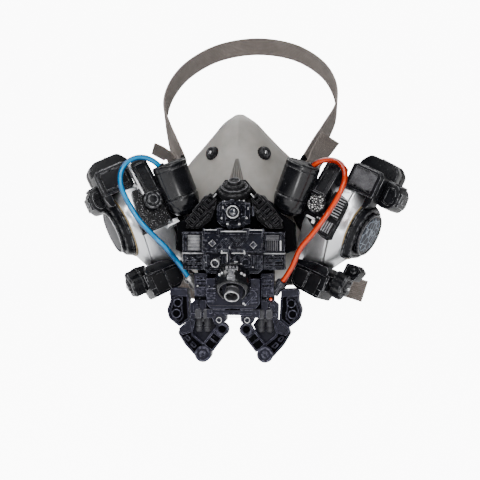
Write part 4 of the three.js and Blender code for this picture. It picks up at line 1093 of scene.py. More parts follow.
# clamps round the drum, outlines in a and u; the right ones stand nearer to the drum by the moves
clampForm = {
    "front": [[-18, 26], [-18, 44.5], [-16, 46.5], [5, 46.5], [7.5, 44], [7.5, 26]],
    "frontLip": [[-18.8, 27.5], [-18.8, 45.2], [-16.4, 47.3], [5.4, 47.3], [8.3, 44.3], [8.3, 27.5]],
    "frontRails": [[-14.6, 4.2, 29.6, 30.4, 18, 20.3], [-14.6, 4.2, 43.8, 44.5, 18, 20.3]],
    "frontEdgeHighlights": [
        [-17.4, 7, 45.6, 45.9, 19, 20.3], [-17.4, 7, 27.2, 27.5, 19, 20.3],
        [-17.6, -17.3, 27.4, 45.6, 19, 20.3], [6.9, 7.2, 27.4, 43.6, 19, 20.3]],
    "frontPanel": boxOutline(-14.8, 4.3, 30.6, 43.4),
    "panelRibs": [[-14, 3.6, 31.3 + 0.86 * k, 31.75 + 0.86 * k, 18.8, 19.65] for k in range(14)],
    "arm": [[2.2, 17], [2.2, 30], [8, 30], [8.6, 24], [6, 17]],
    "lug": [[3, 25], [3, 42], [8, 44], [17, 43], [20, 38], [20.5, 30], [17, 24], [9, 23]],
    "lugFold": [[9, 27], [9, 40], [15.5, 40.5], [18, 36], [18, 30], [15, 26]],
    "lugTabs": [[19, 21.2, 28, 39, -17, -1], [6, 17, 43, 44.6, -17, -1.5], [19.6, 21.8, 31, 36, -13, -5]],
    "cap": [[-25, 38], [-25, 50], [-19, 57.5], [2.6, 57.5], [8.5, 52], [8.5, 40]],
    "capSeam": [[-24.3, 38.4], [-24.3, 49.7], [-18.7, 56.7], [2.3, 56.7], [7.8, 51.7], [7.8, 40.4]],
    "capRails": [[-8.8, -8, 44, 58, -25, -7.2], [-25.5, -24.9, 41, 50, -22, -10]],
    "low": [
        [-26, -40], [-26, -46], [-25, -56], [-20, -60.2], [1.5, -60.5], [3, -52], [1.5, -39.5], [-1, -36],
        [-12, -36.4]],
    "lowLip": [[-26.8, -39.6], [-26.6, -43.6], [1.6, -41.6], [1.8, -38.4], [-1, -35.4], [-12, -35.8]],
    "lowBlocks": [
        [-12.6, -12, -60.2, -42, 17, 20.2], [0.4, 3.4, -53, -41, 8, 18.4], [-2, 2.4, -58.6, -53.6, 17, 20]],
    "lowEdgeHighlights": [
        [-26, 1.2, -42.7, -42.4, 19, 20.9], [-12.7, -12.4, -59, -43, 19, 20.4],
        [-19.6, 1, -60.1, -59.8, 18, 19.3]],
    "lowPanels": [
        [[-24.6, -45.6], [-23.6, -55], [-19.6, -58], [-13.2, -58.4], [-13.2, -44.6]],
        boxOutline(-11.8, -1.6, -58.6, -44.2)],
    "star": [
        [0, 3.3], [8.6, 3.3], [9.6, 4.6], [9.6, 12.6], [8.6, 14], [6.2, 14.2], [5.6, 13.4], [4.4, 13.4],
        [4, 15], [3, 15.8], [0, 15.8]], "starPin": [[0, 15], [1.5, 15], [1.5, 16.2], [1, 16.6], [0, 16.7]],
    "wing": [[5, -37], [5, -26.5], [14, -25], [19, -28], [16.5, -37]],
    "wingScrew": [[0, 2], [2.4, 2], [2.4, 5], [1.8, 5.6], [0, 5.8]],
    "starAt": (0, -44, 4), "starLobes": (5, 0.15, 0.6), "screwAt": (13.4, -30),
    "moves": {"lug": (-6.5, -6.0), "wing": (-9.5, -7.0), "front": (-2.6, 0.0), "cap": (-5.4, -0.4)},
    "panelFinish": {"left": (panelBlack, leatherBlack), "right": (leatherBlack, matteBlack)}}
for tag, sign in sides.items():
    raised = drumPlaces(sign)[0]
    moves = [clampForm["moves"][key] if sign < 0 else (0, 0) for key in ("front", "lug", "cap", "wing")]
    atFront, atLug, atCap, atWing = [movedPlace(raised, *move) for move in moves]
    frontFinish, lowFinish = clampForm["panelFinish"][tag]
    top = [slabAt(clampForm["front"], framedSteps(-6, 20, 0.9, 1.9, 1.1), 1.4, atFront)]
    top += [slabAt(clampForm["frontLip"], softSteps(12.8, 15.4, 0.5), 1.6, atFront)]
    top += [slabAt(clampForm["arm"], softSteps(6, 19, 0.7), 1.2, atFront)]
    top += [slabAt(clampForm["lug"], softSteps(-20, 2, 1.0), 2.0, atLug)]
    top += [slabAt(clampForm["lugFold"], framedSteps(-8, 3.2, 0.4, 0.8, 0.7), 1.2, atLug)]
    top += [boxesAt(clampForm["lugTabs"], 0.5, atLug), boxesAt(clampForm["frontRails"], 0.2, atFront)]
    sidePiece(tag, "clampTopBox", top, glossBlack, "gloss_black", "clamp_top")
    panel = slabAt(clampForm["frontPanel"], softSteps(16, 19.4, 0.4), 0.8, atFront)
    sidePiece(tag, "clampTopPanel", [panel], frontFinish, "matte_black")
    if sign > 0:
        panelRibs = boxesAt(clampForm["panelRibs"], 0.12, atFront)
        makePiece("clampPanelRibs_left", [panelRibs], panelBlack)
    capFront = [(1.2, -16.8, 1), (0.4, -16.4, 1), (0, -15.6, 0)] + softSteps(-15.4, -6.3, 1.2)[1:]
    cap = [slabAt(clampForm["cap"], softSteps(-26, -17.2, 1.2), 2.8, atCap)]
    cap += [slabAt(clampForm["capSeam"], softSteps(-20, -16.2, 0.3), 2.5, atCap)]
    cap += [slabAt(clampForm["cap"], capFront, 2.8, atCap), boxesAt(clampForm["capRails"], 0.2, atCap)]
    sidePiece(tag, "clampCapBox", cap, glossBlack, "gloss_black", "clamp_cap")
    panels = [slabAt(outline, softSteps(17, 20.1, 0.35), 1.3, raised) for outline in clampForm["lowPanels"]]
    sidePiece(tag, "clampLowPanels", panels, lowFinish, "matte_black")
    low = [slabAt(clampForm["low"], softSteps(-6, 19, 0.8), 1.6, raised)]
    low += [slabAt(clampForm["lowLip"], softSteps(10, 20.6, 0.4), 0.6, raised)]
    low += [boxesAt(clampForm["lowBlocks"], 0.3, raised)]
    sidePiece(tag, "clampLowBox", low, glossBlack, "gloss_black", "clamp_low")
    # thin strips along the clamp edges that make light edge lines: painted highlight
    edges = [boxesAt(clampForm["frontEdgeHighlights"], 0.1, atFront), boxesAt(clampForm["lowEdgeHighlights"], 0.1, raised)]
    sidePiece(tag, "clampEdgeHighlights", edges, pistonSlate, "steel")
    atStar = aimPlace(*spotAndWay(raised, clampForm["starAt"], (1, 0, 0)))
    lobes, deep, start = clampForm["starLobes"]
    starLine = softProfile(clampForm["star"], 0.4)
    star = lobedShell(starLine, 144, lambda f: 1 + deep * np.cos(lobes * f + start))
    knob = [placed(star, atStar), slabAt(clampForm["wing"], framedSteps(-9, 3, 0.7, 0.9, 0.6), 1.4, atWing)]
    knob += [turnedAt(clampForm["wingScrew"], 0.3, 28, movedPlace(atWing, *clampForm["screwAt"]))]
    sidePiece(tag, "clampKnobStar", knob, glossBlack, "gloss_black", "clamp_knob")
    steelPiece(f"knobPin_{tag}", [turnedAt(clampForm["starPin"], 0.3, 24, atStar)])
print("stage: clamps made")

# side bars, knobs and modules on the pad, outlines in a and q
barForm = {
    "outline": [[-35, 3], [-21.5, 3], [-21.5, 34.5], [-24, 36], [-33, 36], [-35, 34]],
    "rails": [[-33.4, -23, 5.4, 7, 35, 36.5], [-33.4, -23, 31.6, 32.6, 35, 36.4]],
    "strip": [[-21.2, -19.4, 8, 35.4, 30, 36.8]], "knobAt": {"left": (-24.6, -2.2), "right": (-24.8, 1.0)},
    "knob": {
        "left": [[0, 22], [7.2, 22], [7.2, 37], [6.8, 37.8], [0, 38]],
        "right": [
            [0, 22], [7.2, 22], [7.2, 36.6], [6.6, 37.6], [5.8, 37.8], [5.4, 37.2], [4.8, 37.2], [4.4, 38],
            [3.6, 38.5], [0, 38.6]]},
    "grille": [[0, 36], [6.7, 36], [6.7, 38.2], [6, 38.9], [3.4, 39.7], [0, 40]]}
plateForm = {
    "outline": [[-14, 15.5], [-7, -18.5], [-29, -18.5], [-33, -10], [-33, 4], [-21, 4], [-19.5, 15.5]],
    "patch": (-32, -8.5, -17.6, 14.6), "step": 1.25, "top": 31.4, "knobRoom": 7.6,
    "edge": {"p": -14.2, "q": 15, "slope": 0.19}, "barCorner": (-20.6, 2.6),
    "pebble": [[0, -0.7], [0.62, -0.5], [0.46, 0.1], [0, 0.34]],
    "glint": [[0, -0.5], [0.3, -0.4], [0.24, 0.3], [0, 0.5]], "glintShift": (0.3, 0.2, 0.2),
    "tab": [[-38, -27.5, -21.4, -19.4, 22, 27.6], [-38, -33, -19.8, -16.6, 22, 26.8]]}
moduleForm = {
    "base": [
        [-9.4, 12.5], [-5.6, 9.5], [-4.4, -9], [-4.8, -20], [-9, -22], [-18.6, -19.8], [-33, -12], [-33, 4],
        [-21, 4], [-19.5, 14]],
    "beds": [
        [[-16.5, 13], [-6.2, 9.6], [-5.4, -6.4], [-15, -4.6]],
        [[-18, -8.6], [-4.8, -10], [-5, -20.4], [-17.6, -18.6]]],
    "stud": [[0, 29], [0.7, 29], [0.7, 30.6], [0.3, 31], [0, 31]],
    "clip": [[-30, -22, -13.6, -11.8, 28, 31], [-24, -21, -16.4, -13.2, 28, 30.4]]}


# low domes on a jittered grid: each spot moves by a sine of its number
def pebbleSpots(patch, step, height):
    p0, p1, q0, q1 = patch
    p, q = np.meshgrid(np.arange(p0, p1, step), np.arange(q0, q1, step), indexing="ij")
    n = np.arange(p.size)
    p, q = p.ravel() + 0.3 * step * np.sin(n * 12.9), q.ravel() + 0.3 * step * np.sin(n * 78.2)
    return np.stack([p, q, height + 0.12 * np.sin(n * 37.7)], -1)


# the spots that lie on the plate and clear of the bar and the knob
def freeSpots(spots):
    p, q = spots[:, 0], spots[:, 1]
    edge, (barP, barQ) = plateForm["edge"], plateForm["barCorner"]
    onPlate = p < edge["p"] + (edge["q"] - q) * edge["slope"]
    underBar = (p < barP) & (q > barQ)
    knobP, knobQ = barForm["knobAt"]["right"]
    return spots[onPlate & ~underBar & (np.hypot(p - knobP, q - knobQ) > plateForm["knobRoom"])]


def rightModule(pad):
    steelPiece("sideStrip_right", [boxesAt(barForm["strip"], 0.3, pad)])
    spots = freeSpots(pebbleSpots(plateForm["patch"], plateForm["step"], plateForm["top"]))
    plate = [slabAt(plateForm["outline"], softSteps(18, plateForm["top"], 0.7), 1.2, pad)]
    plate += [placed(repeated(turnShell(plateForm["pebble"], 7), spots), pad)]
    makePiece("modulePlate_right", plate, speckledBlack, ["module_right"])
    shine = spots[np.sin(np.arange(len(spots)) * 7.3) > 0.72] + np.array(plateForm["glintShift"])
    glints = placed(repeated(turnShell(plateForm["glint"], 6), shine), pad)
    steelPiece("plateGlints_right", [glints])
    # a small silver tab on the housing crease, painted highlight of that crease
    makePiece("creaseHighlightTab_right", [boxesAt(plateForm["tab"], 0.5, pad)], silverShell)


def leftModule(pad, atKnob):
    makePiece("grilleCap_left", [turnedAt(barForm["grille"], 0.3, 48, atKnob)], grilleFace)
    base = [slabAt(moduleForm["base"], softSteps(18, 29.6, 0.7), 1.2, pad)]
    base += [slabAt(bed, softSteps(26, 31.2, 0.5), 0.8, pad) for bed in moduleForm["beds"]]
    makePiece("moduleBase_left", base, matteBlack, ["module_left"])
    ribs = []
    for k in range(8):
        q = 11 - 2.2 * k
        ribs.append([-15.8 + 0.1 * k, -6.4 + 0.12 * k, q - 0.36, q + 0.36, 30.4, 32.8])
    for k in range(6):
        p = -16.4 + 1.9 * k
        ribs.append([p - 0.34, p + 0.34, -18.6, -10, 30.4, 32.8])
    spots = [(-20 + 2.2 * k, -6.6 + 0.4 * k, 0) for k in range(3)]
    spots += [(-21 + 2.2 * k, -10.4, 0) for k in range(2)]
    studs = placed(repeated(turnShell(moduleForm["stud"], 10), spots), pad)
    makePiece("moduleRibs_left", [boxesAt(ribs, 0.18, pad), studs], ribGrey)
    steelPiece("moduleClip_left", [boxesAt(moduleForm["clip"], 0.4, pad)])


for tag, sign in sides.items():
    pad = drumPlaces(sign)[2]
    atKnob = movedPlace(pad, *barForm["knobAt"][tag])
    bar = [slabAt(barForm["outline"], framedSteps(22, 36, 1.4, 1.4, 0.5), 2.4, pad)]
    bar += [boxesAt(barForm["rails"], 0.3, pad), turnedAt(barForm["knob"][tag], 0.4, 72, atKnob)]
    sidePiece(tag, "sideBarBody", bar, glossBlack, "gloss_black", "side_bar")
    if sign > 0:
        leftModule(pad, atKnob)
    else:
        rightModule(pad)
print("stage: modules made")

# front blocks: outline in x and z, height towards the front
front = makePlace((0, 0, 0), (1, 0, 0), (0, 0, 1), (0, -1, 0))
frontMirror = mirrorPlace(front)
deck = 72.3


def mirrored(half):
    return half + [[-x, z] for x, z in half[::-1]]


skirtForm = {"rows": (0.47, 0.555), "wide": (0.087, 0.216), "high": 7.5, "sunk": -1.0}


# a patch of the facepiece skin that widens downward: its face stands off by high,
# its sides drop to sunk and it closes under the skin
def skirtShell(form):
    t = np.linspace(*form["rows"], 16)
    across = np.concatenate([[-1.0], np.linspace(-0.96, 0.96, 25), [1.0]])
    face = np.concatenate([[form["high"] - 0.6], np.full(25, form["high"]), [form["high"] - 0.6]])
    tt, uu = np.meshgrid(t, np.concatenate([across, across[::-1]]), indexing="ij")
    off = np.broadcast_to(np.concatenate([face, np.full(27, form["sunk"])]), tt.shape)
    wide = np.interp(tt, form["rows"], form["wide"])
    return loftShell(faceOffset(tt, uu * wide, off), np.zeros(len(t) - 1))


turretForm = {
    "at": (0, -77, 19), "axis": (0, -0.45, 0.89),
    "profile": [
        [0, -3], [12.4, -3], [12.4, 1.2], [11.9, 1.9], [11.2, 2], [10.8, 1.7], [10.4, 2.2], [10.2, 3.6],
        [9.6, 4.2], [8.6, 4.3], [8.2, 4], [7.7, 4.6], [7.4, 6], [6.8, 6.6], [5.8, 6.7], [5.4, 6.4],
        [4.9, 7], [4.5, 8.4], [4, 8.9], [3, 8.9], [2.6, 8.3], [1.2, 8.3], [0.9, 8.8], [0, 8.9]],
    "stud": [[0, -1], [0.62, -1], [0.62, 0.3], [0.35, 0.6], [0, 0.6]],
    "studRings": [(11.5, 22, 1.9), (9.1, 16, 4.2), (6.3, 10, 6.6)], "rings": [(9.9, 3.95), (4.3, 8.75)],
    "clip": [[-1.9, 1.9, -0.5, 0.5, 80, 85.4]], "clipAt": (14.2, 15.2), "clipLean": 0.7}
turretPlace = aimPlace(turretForm["at"], turretForm["axis"])
studTip = turnShell(softProfile(turretForm["stud"], 0.15), 9)
turret = [turnedAt(turretForm["profile"], 0.3, 80, turretPlace)]
turret += [placed(repeated(studTip, ringSpots(*row)), turretPlace) for row in turretForm["studRings"]]
makePiece("turretCone", turret, matteBlack, ["turret"])
makePiece("turretSkirt", [skirtShell(skirtForm)], matteBlack, sharp=40)
rings = [placed(hoopShell(r, 0.2, h, 64, 8), turretPlace) for r, h in turretForm["rings"]]
makePiece("turretRings", rings, darkSteel)
clips, lean = [], turretForm["clipLean"]
for sign in (-1, 1):
    clipX, clipZ = turretForm["clipAt"]
    clipAxes = [(lean, 0, -lean * sign), (lean * sign, 0, lean), (0, -1, 0)]
    clips.append(boxesAt(turretForm["clip"], 0.2, makePlace((sign * clipX, 0, clipZ), *clipAxes)))
steelPiece("turretClips", clips)

lensForm = {
    "octagon": [
        [-8, -8.6], [8, -8.6], [12.5, -4], [12.5, 7.5], [8, 11.6], [-8, 11.6], [-12.5, 7.5], [-12.5, -4]],
    "bits": [
        [-8.2, -5.6, -5.3, 9.7, 86, 89], [-8.3, -3, -6, -4.2, 86, 88.6], [-8.3, -3, 9.3, 10.8, 86, 88.8],
        [9.1, 12.8, -6, 9, 86, 89.4], [6.4, 12.8, 7.8, 9.7, 86, 88.8], [6.4, 12.8, -2.3, -0.4, 86, 88.8],
        [-4.5, 5.3, -9.2, -7.2, 86, 89], [-10.6, -8.8, 3, 7.5, 86, 88.4], [14.2, 15.7, 0, 7.4, 86, 88],
        [-2.3, 0.7, 10.9, 12.4, 86, 88.6]],
    "glints": [
        [-5, -3.2, -6.9, -5.2, 86, 90], [3.9, 5.7, -6.9, -5.2, 86, 90], [-9.1, -7.9, -2.6, -0.8, 86, 89.6],
        [9.4, 11.2, -2.4, -0.8, 86, 90], [-6.7, -5.8, 10.5, 11.4, 86, 89.4],
        [4.3, 5.2, 11.2, 12.1, 86, 89.4], [7.6, 8.8, 10.8, 11.7, 86, 89.4],
        [-7.9, -7.1, 5.2, 7.5, 86, 89.6], [11.1, 11.8, 4.5, 6.7, 86, 90]],
    "ring": [[7.6, 84], [7.6, 87.8], [7, 88.6], [6.2, 88.8], [5.6, 88.2], [5.2, 84]],
    "rim": [[5.1, 86], [5.1, 91.4], [4.8, 92], [4.3, 92], [4, 91.2], [3.7, 88], [3.7, 86]],
    "dome": [[0, 87], [3.3, 87], [3.3, 89.6], [2.4, 90.6], [0, 91.1]]}
lensPlace = makePlace((0, 0, 3), (1, 0, 0), (0, 0, 1), (0, -1, 0))
housing = [slabAt(lensForm["octagon"], framedSteps(deck, 87, 1.2, 0.5, 0.6), 1.2, front)]
housing += [boxesAt(lensForm["bits"], 0.3, front), turnedAt(lensForm["ring"], 0.3, 64, lensPlace, True)]
housing += [placed(repeated(studTip, ringSpots(6.7, 12, 88.7, 0.26)), lensPlace)]
makePiece("lensHousing", housing, navyBlack, ["lens_housing"])
# bright steel bits where glints fall round the lens: painted glints
steelPiece("lensGlintBits", [boxesAt(lensForm["glints"], 0.25, front)])
# the lens rim in bright steel: a real rim whose pale colour paints its highlight
steelPiece("lensRimHighlight", [turnedAt(lensForm["rim"], 0.2, 10, lensPlace, True)])
dome = turnShell(softProfile(lensForm["dome"], 0.5, 6), 48)
makePiece("lensDome", [placed(dome, lensPlace)], lensGlass, ["lens"])
makePiece("lensInner", [placed(hoopShell(2.5, 0.18, 90.7, 48, 8), lensPlace)], darkSteel)

# upper bar with its ridge segments, framed screws, clip and lower lip
upperForm = {
    "half": [
        [23, -26], [23, -12], [21.5, -10.6], [13.6, -10.6], [13, -9.2], [8, -9.2], [7.4, -10.6],
        [4, -10.6]],
    "ridges": [
        [-22, -11.2, -12.9, -9.9, 91, 93.4], [-9, 10.6, -13.7, -11.1, 91, 93.2],
        [12.5, 23.2, -13.2, -10.1, 91, 93.4], [-22.2, -20.9, -14.8, -9.2, 91, 93.8],
        [-11.8, -10.4, -14.8, -9.3, 91, 93.8], [10.8, 12.2, -15.6, -10.4, 91, 93.8],
        [22.2, 23.6, -15.3, -9.3, 91, 93.8], [-22.8, 23.6, -26.8, -25.2, 91, 92.8],
        [-3.2, -1.3, -28, -22, 91, 93.8]],
    "glints": [
        [-8.8, 10.6, -11.9, -11.3, 92, 93.9], [-21.5, -11.9, -10.6, -10.1, 92, 94],
        [12.8, 22.5, -10.7, -10.2, 92, 94], [-8.8, -3.7, -28, -27.2, 91, 93.4],
        [-0.7, 9.9, -28.1, -27.4, 91, 93.4], [-8.5, -7.4, -28.3, -25.7, 91, 93.8],
        [8.4, 9.5, -28.6, -25.7, 91, 93.8], [-2.6, -1.8, -24.5, -22.6, 92, 94.2]],
    "frame": [[2.9, 91], [2.9, 93.2], [2.6, 93.4], [2.3, 93.2], [2.1, 92], [2.1, 91]],
    "screw": [[0, 90], [1.5, 90], [1.5, 92], [1.1, 92.5], [0.7, 92.5], [0.6, 92], [0, 92]],
    "screwAt": [(-15.2, -20.4, 0), (15.6, -21.6, 0)]}
hatchAxes = [(0.64, 0, 0.77), (-0.77, 0, 0.64), (0, -1, 0)]


# slanted thin bars side by side, each at its own spot on the front
def hatchShells(row, chamfer, spots):
    return [boxesAt([row], chamfer, makePlace((x, 0, z), *hatchAxes)) for x, z in spots]


bar = slabAt(mirrored(upperForm["half"]), framedSteps(deck, 92, 0.7, 0.5, 0.4), 0.6, front)
makePiece("upperBarBody", [bar], chevronBlack, ["upper_bar"])
hatch = hatchShells([-4.6, 4.6, -0.2, 0.2, 91, 92.5], 0.14, [(-8.6 + 1.3 * k, -19) for k in range(15)])
makePiece("upperBarTrim", [boxesAt(upperForm["ridges"], 0.3, front)] + hatch, navyBlack)
# bright steel strips and bits on the bar's ridges: painted glints and highlights
steelPiece("upperBarGlintBits", [boxesAt(upperForm["glints"], 0.2, front)])
diamond = turnShell(upperForm["frame"], 4, loop=True)
screw = turnShell(softProfile(upperForm["screw"], 0.2), 20)
# bright steel diamond frames round the screws, painting the light outlines of their edges
steelPiece("barScrewFrameHighlights", [placed(repeated(diamond, upperForm["screwAt"]), front)])
makePiece("barScrews", [placed(repeated(screw, upperForm["screwAt"]), front)], navyBlack)

# finned and slotted ends
endForm = {
    "fin": boxOutline(23.4, 38.6, -27.6, -12.6), "slot": boxOutline(22.6, 38.6, -40.6, -28.8),
    "topLedge": [[23.2, 38.8, -13.4, -12.2, 78, 87.2]], "ledge": [[22.8, 39, -28.6, -27.8, 76, 87.9]],
    "slits": [
        [35.4, 36.4, -26, -14.2, 83, 87.4], [37.2, 38, -26, -14.2, 83, 87.4],
        [24.2, 24.9, -26, -14.2, 83, 87]],
    "strip": [[35, 36.2, -26, -18.4, 84, 87.9]],
    "slotBars": [[29.8, 30.8, -39.6, -29.8, 81, 84.9], [23, 24, -39.8, -29.6, 81, 85.2]],
    "finRows": np.linspace(-25.6, -14.8, 11), "finColumns": np.linspace(26, 33, 6),
    "slotRows": np.linspace(-38.6, -30.6, 4), "ribFinish": {"left": darkSteel, "right": ribGrey}}
for tag, sign in sides.items():
    place = front if sign > 0 else frontMirror
    block = [slabAt(endForm["fin"], framedSteps(deck, 86, 0.6, 0.4, 1.4), 0.5, place)]
    block += [boxesAt(endForm["topLedge"], 0.3, place), boxesAt(endForm["slits"], 0.25, place)]
    sidePiece(tag, "finBlock", block, navyBlack, "gloss_black", "fin_block")
    if sign > 0:
        fins = [[24.6, 34.4, z - 0.3, z + 0.3, 83.4, 87] for z in endForm["finRows"][-4:]]
        fins += [[x - 0.25, x + 0.25, -26, -18.6, 83.4, 86.2] for x in endForm["finColumns"]]
        steelPiece("finStrip_left", [boxesAt(endForm["strip"], 0.2, place)])
    else:
        fins = [[25.4, 34.6, z - 0.3, z + 0.3, 83.4, 86.8] for z in endForm["finRows"]]
    sidePiece(tag, "finRibs", [boxesAt(fins, 0.15, place)], endForm["ribFinish"][tag], "steel")
    sidePiece(tag, "finLedge", [boxesAt(endForm["ledge"], 0.2, place)], ribGrey, "steel")
    louvres = [[24.4, 37, z - 0.75, z + 0.55, 80.6, 84.6] for z in endForm["slotRows"]]
    box = [slabAt(endForm["slot"], framedSteps(deck, 84, 0.6, 0.5, 2.4), 0.5, place)]
    box += [boxesAt(louvres, 0.25, place), boxesAt(endForm["slotBars"], 0.25, place)]
    sidePiece(tag, "slotBox", box, navyBlack, "matte_black", "slot_box")

# middle block with its ports, hatch and plates
midForm = {
    "half": [[19, -43.2], [22.2, -40], [22.2, -26.4], [3, -26.4]],
    "bits": [
        [-4.4, -1.9, -37.3, -22.4, 88, 92.4], [-19.7, -17.9, -38.1, -29.2, 88, 90.2],
        [-8.1, -5.4, -35.9, -29.9, 88, 90.6], [14, 16, -38.9, -29.1, 88, 90.6],
        [16.7, 21.9, -34.4, -29.5, 88, 90], [17, 21.6, -39.6, -35.9, 88, 90.4],
        [-17.4, -8.1, -40.1, -38.4, 88, 90.2], [6.2, 12.9, -38.4, -36.6, 88, 90.4],
        [-21.7, -20.2, -40.4, -29.9, 88, 89.8], [18.2, 19, -39.6, -29.9, 89, 91],
        [20, 20.8, -39.6, -29.9, 89, 91], [11.2, 13.3, -31.4, -28.8, 88, 91]],
    "glints": [
        [1, 4, -34.6, -33.9, 89, 91.6], [12, 13.1, -29.8, -29.1, 90, 91.8],
        [-20.8, -19.8, -35.1, -34.4, 89, 90.6], [-4.2, -3.6, -34.3, -28.3, 90, 92.8],
        [14.5, 15.6, -38.5, -37.8, 90, 91.2], [5.5, 6.6, -36.3, -35.5, 89, 91.4]],
    "rim": [[3.4, -3], [3.4, 3], [3.1, 3.5], [2.7, 3.4], [2.5, 2.6], [2.5, -3]],
    "port": [[0, -3], [2.45, -3], [2.45, 1], [1.2, 1.2], [1, 2], [0, 2]],
    "darkPort": [[0, -3], [3.3, -3], [3.3, 3], [2.9, 3.4], [2.4, 3.2], [2.2, 1], [0, 0.8]]}
portPlace = aimPlace((-13, -88, -34.6), (-0.12, -0.9, -0.32), (1, 0, 0))
darkPlace = aimPlace((9.4, -88, -33.8), (0.1, -0.9, -0.3), (1, 0, 0))
mid = [slabAt(mirrored(midForm["half"]), framedSteps(deck, 89, 0.6, 0.5, 0.5), 0.6, front)]
mid += [boxesAt(midForm["bits"], 0.25, front)]
midSpots = [(0.6 + 1.35 * k, -31.6 + 0.15 * k) for k in range(7)]
mid += hatchShells([-5.4, 5.4, -0.3, 0.3, 88.6, 91.4], 0.12, midSpots)
makePiece("midBlockBody", mid, navyBlack, ["mid_block"])
# bright steel bits on the middle block: painted glints
steelPiece("midGlintBits", [boxesAt(midForm["glints"], 0.15, front)])
# the port rim in bright steel: a real rim whose pale colour paints its highlight
steelPiece("midPortRimHighlight", [turnedAt(midForm["rim"], 0.15, 40, portPlace, True)])
ports = [turnedAt(midForm["port"], 0.2, 32, portPlace), turnedAt(midForm["darkPort"], 0.2, 36, darkPlace)]
makePiece("midPorts", ports, navyBlack)

# mouth collar and nozzle on one axis that leans down; in its frame p runs back and down, q to the left side
mouthForm = {
    "at": (0, -79, -41.5), "way": (0, -0.73, -0.68),
    "collar": [
        [0, -6], [12.4, -6], [13.4, 0], [13.9, 5.4], [13.6, 5.8], [13.6, 6.6], [13.9, 7], [13.9, 12],
        [13.6, 15], [13, 17.8], [12.2, 20.2], [11.3, 21.6], [10.6, 22], [9.7, 22], [9.2, 21.2], [9, 19.6],
        [8.5, 19.2], [8.4, 17], [7.9, 16.6], [7.8, 9], [0, 8.4]],
    "rings": [(10.2, 0.16, 22.1), (9.3, 0.14, 20.8), (8.1, 0.14, 17)],
    "nozzle": [
        [0, 8.3], [4.6, 8.3], [4.6, 18.6], [5.2, 19.2], [5.2, 20.6], [4.8, 21], [4.8, 22.4], [5.5, 23.2],
        [5.6, 26.4], [5.2, 27], [4.8, 27], [4.5, 26.2], [4.3, 16], [0, 16]],
    "core": [[0, 15], [3.4, 15], [3.4, 22], [2.6, 23.6], [1.8, 23.6], [1.5, 22.4], [0, 22.4]],
    "teeth": [[-16, -12.8, q - 0.75, q + 0.75, 10, 12.2] for q in (-3.8, -1.3, 1.3, 3.8)],
    "ornament": [
        [-14.8, -12.8, -4.4, 4.4, 11.8, 13], [-15.6, -12.8, -2.4, 2.4, 12.8, 14.6],
        [-15, -12.4, -2, 2, 14.4, 18], [-14.6, -11.6, -3, 3, 17.8, 21.4],
        [-15.4, -12.2, -1.1, 1.1, 14.6, 19.8]],
    "bolt": [[0, -1], [1.15, -1], [1.15, 1.1], [0.7, 1.6], [0, 1.7]], "boltOut": 13.5,
    "boltAt": [(-0.72, 14.4), (-0.54, 14.2), (0.72, 14.6), (0.54, 14.4)]}
mouth = aimPlace(mouthForm["at"], mouthForm["way"], (1, 0, 0))
collar = turnedAt(mouthForm["collar"], 0.3, 96, mouth)
makePiece("mouthCollar", [collar], canisterBlack, ["collar"])
rings = [placed(hoopShell(r, thick, h, 72, 8), mouth) for r, thick, h in mouthForm["rings"]]
makePiece("mouthRings", rings, darkSteel)
makePiece("mouthNozzle", [turnedAt(mouthForm["nozzle"], 0.25, 64, mouth)], darkSteel, ["nozzle"])
makePiece("nozzleCore", [turnedAt(mouthForm["core"], 0.3, 32, mouth)], matteBlack)
# a bright steel hoop on the nozzle lip: a real rim whose pale colour paints its highlight
steelPiece("nozzleRimHighlight", [placed(hoopShell(5.2, 0.38, 26.9, 72), mouth)])
ornament = boxesAt(mouthForm["teeth"] + mouthForm["ornament"], 0.4, mouth)
makePiece("mouthOrnament", [ornament], ornamentGrey)
bolts = []
for angle, h in mouthForm["boltAt"]:
    p, q = -math.cos(angle), math.sin(angle)
    spot, way = spotAndWay(mouth, (mouthForm["boltOut"] * p, mouthForm["boltOut"] * q, h), (p, q, 0))
    bolts.append(turnedAt(mouthForm["bolt"], 0.25, 20, aimPlace(spot, way, (1, 0, 0))))
steelPiece("mouthBolts", bolts)

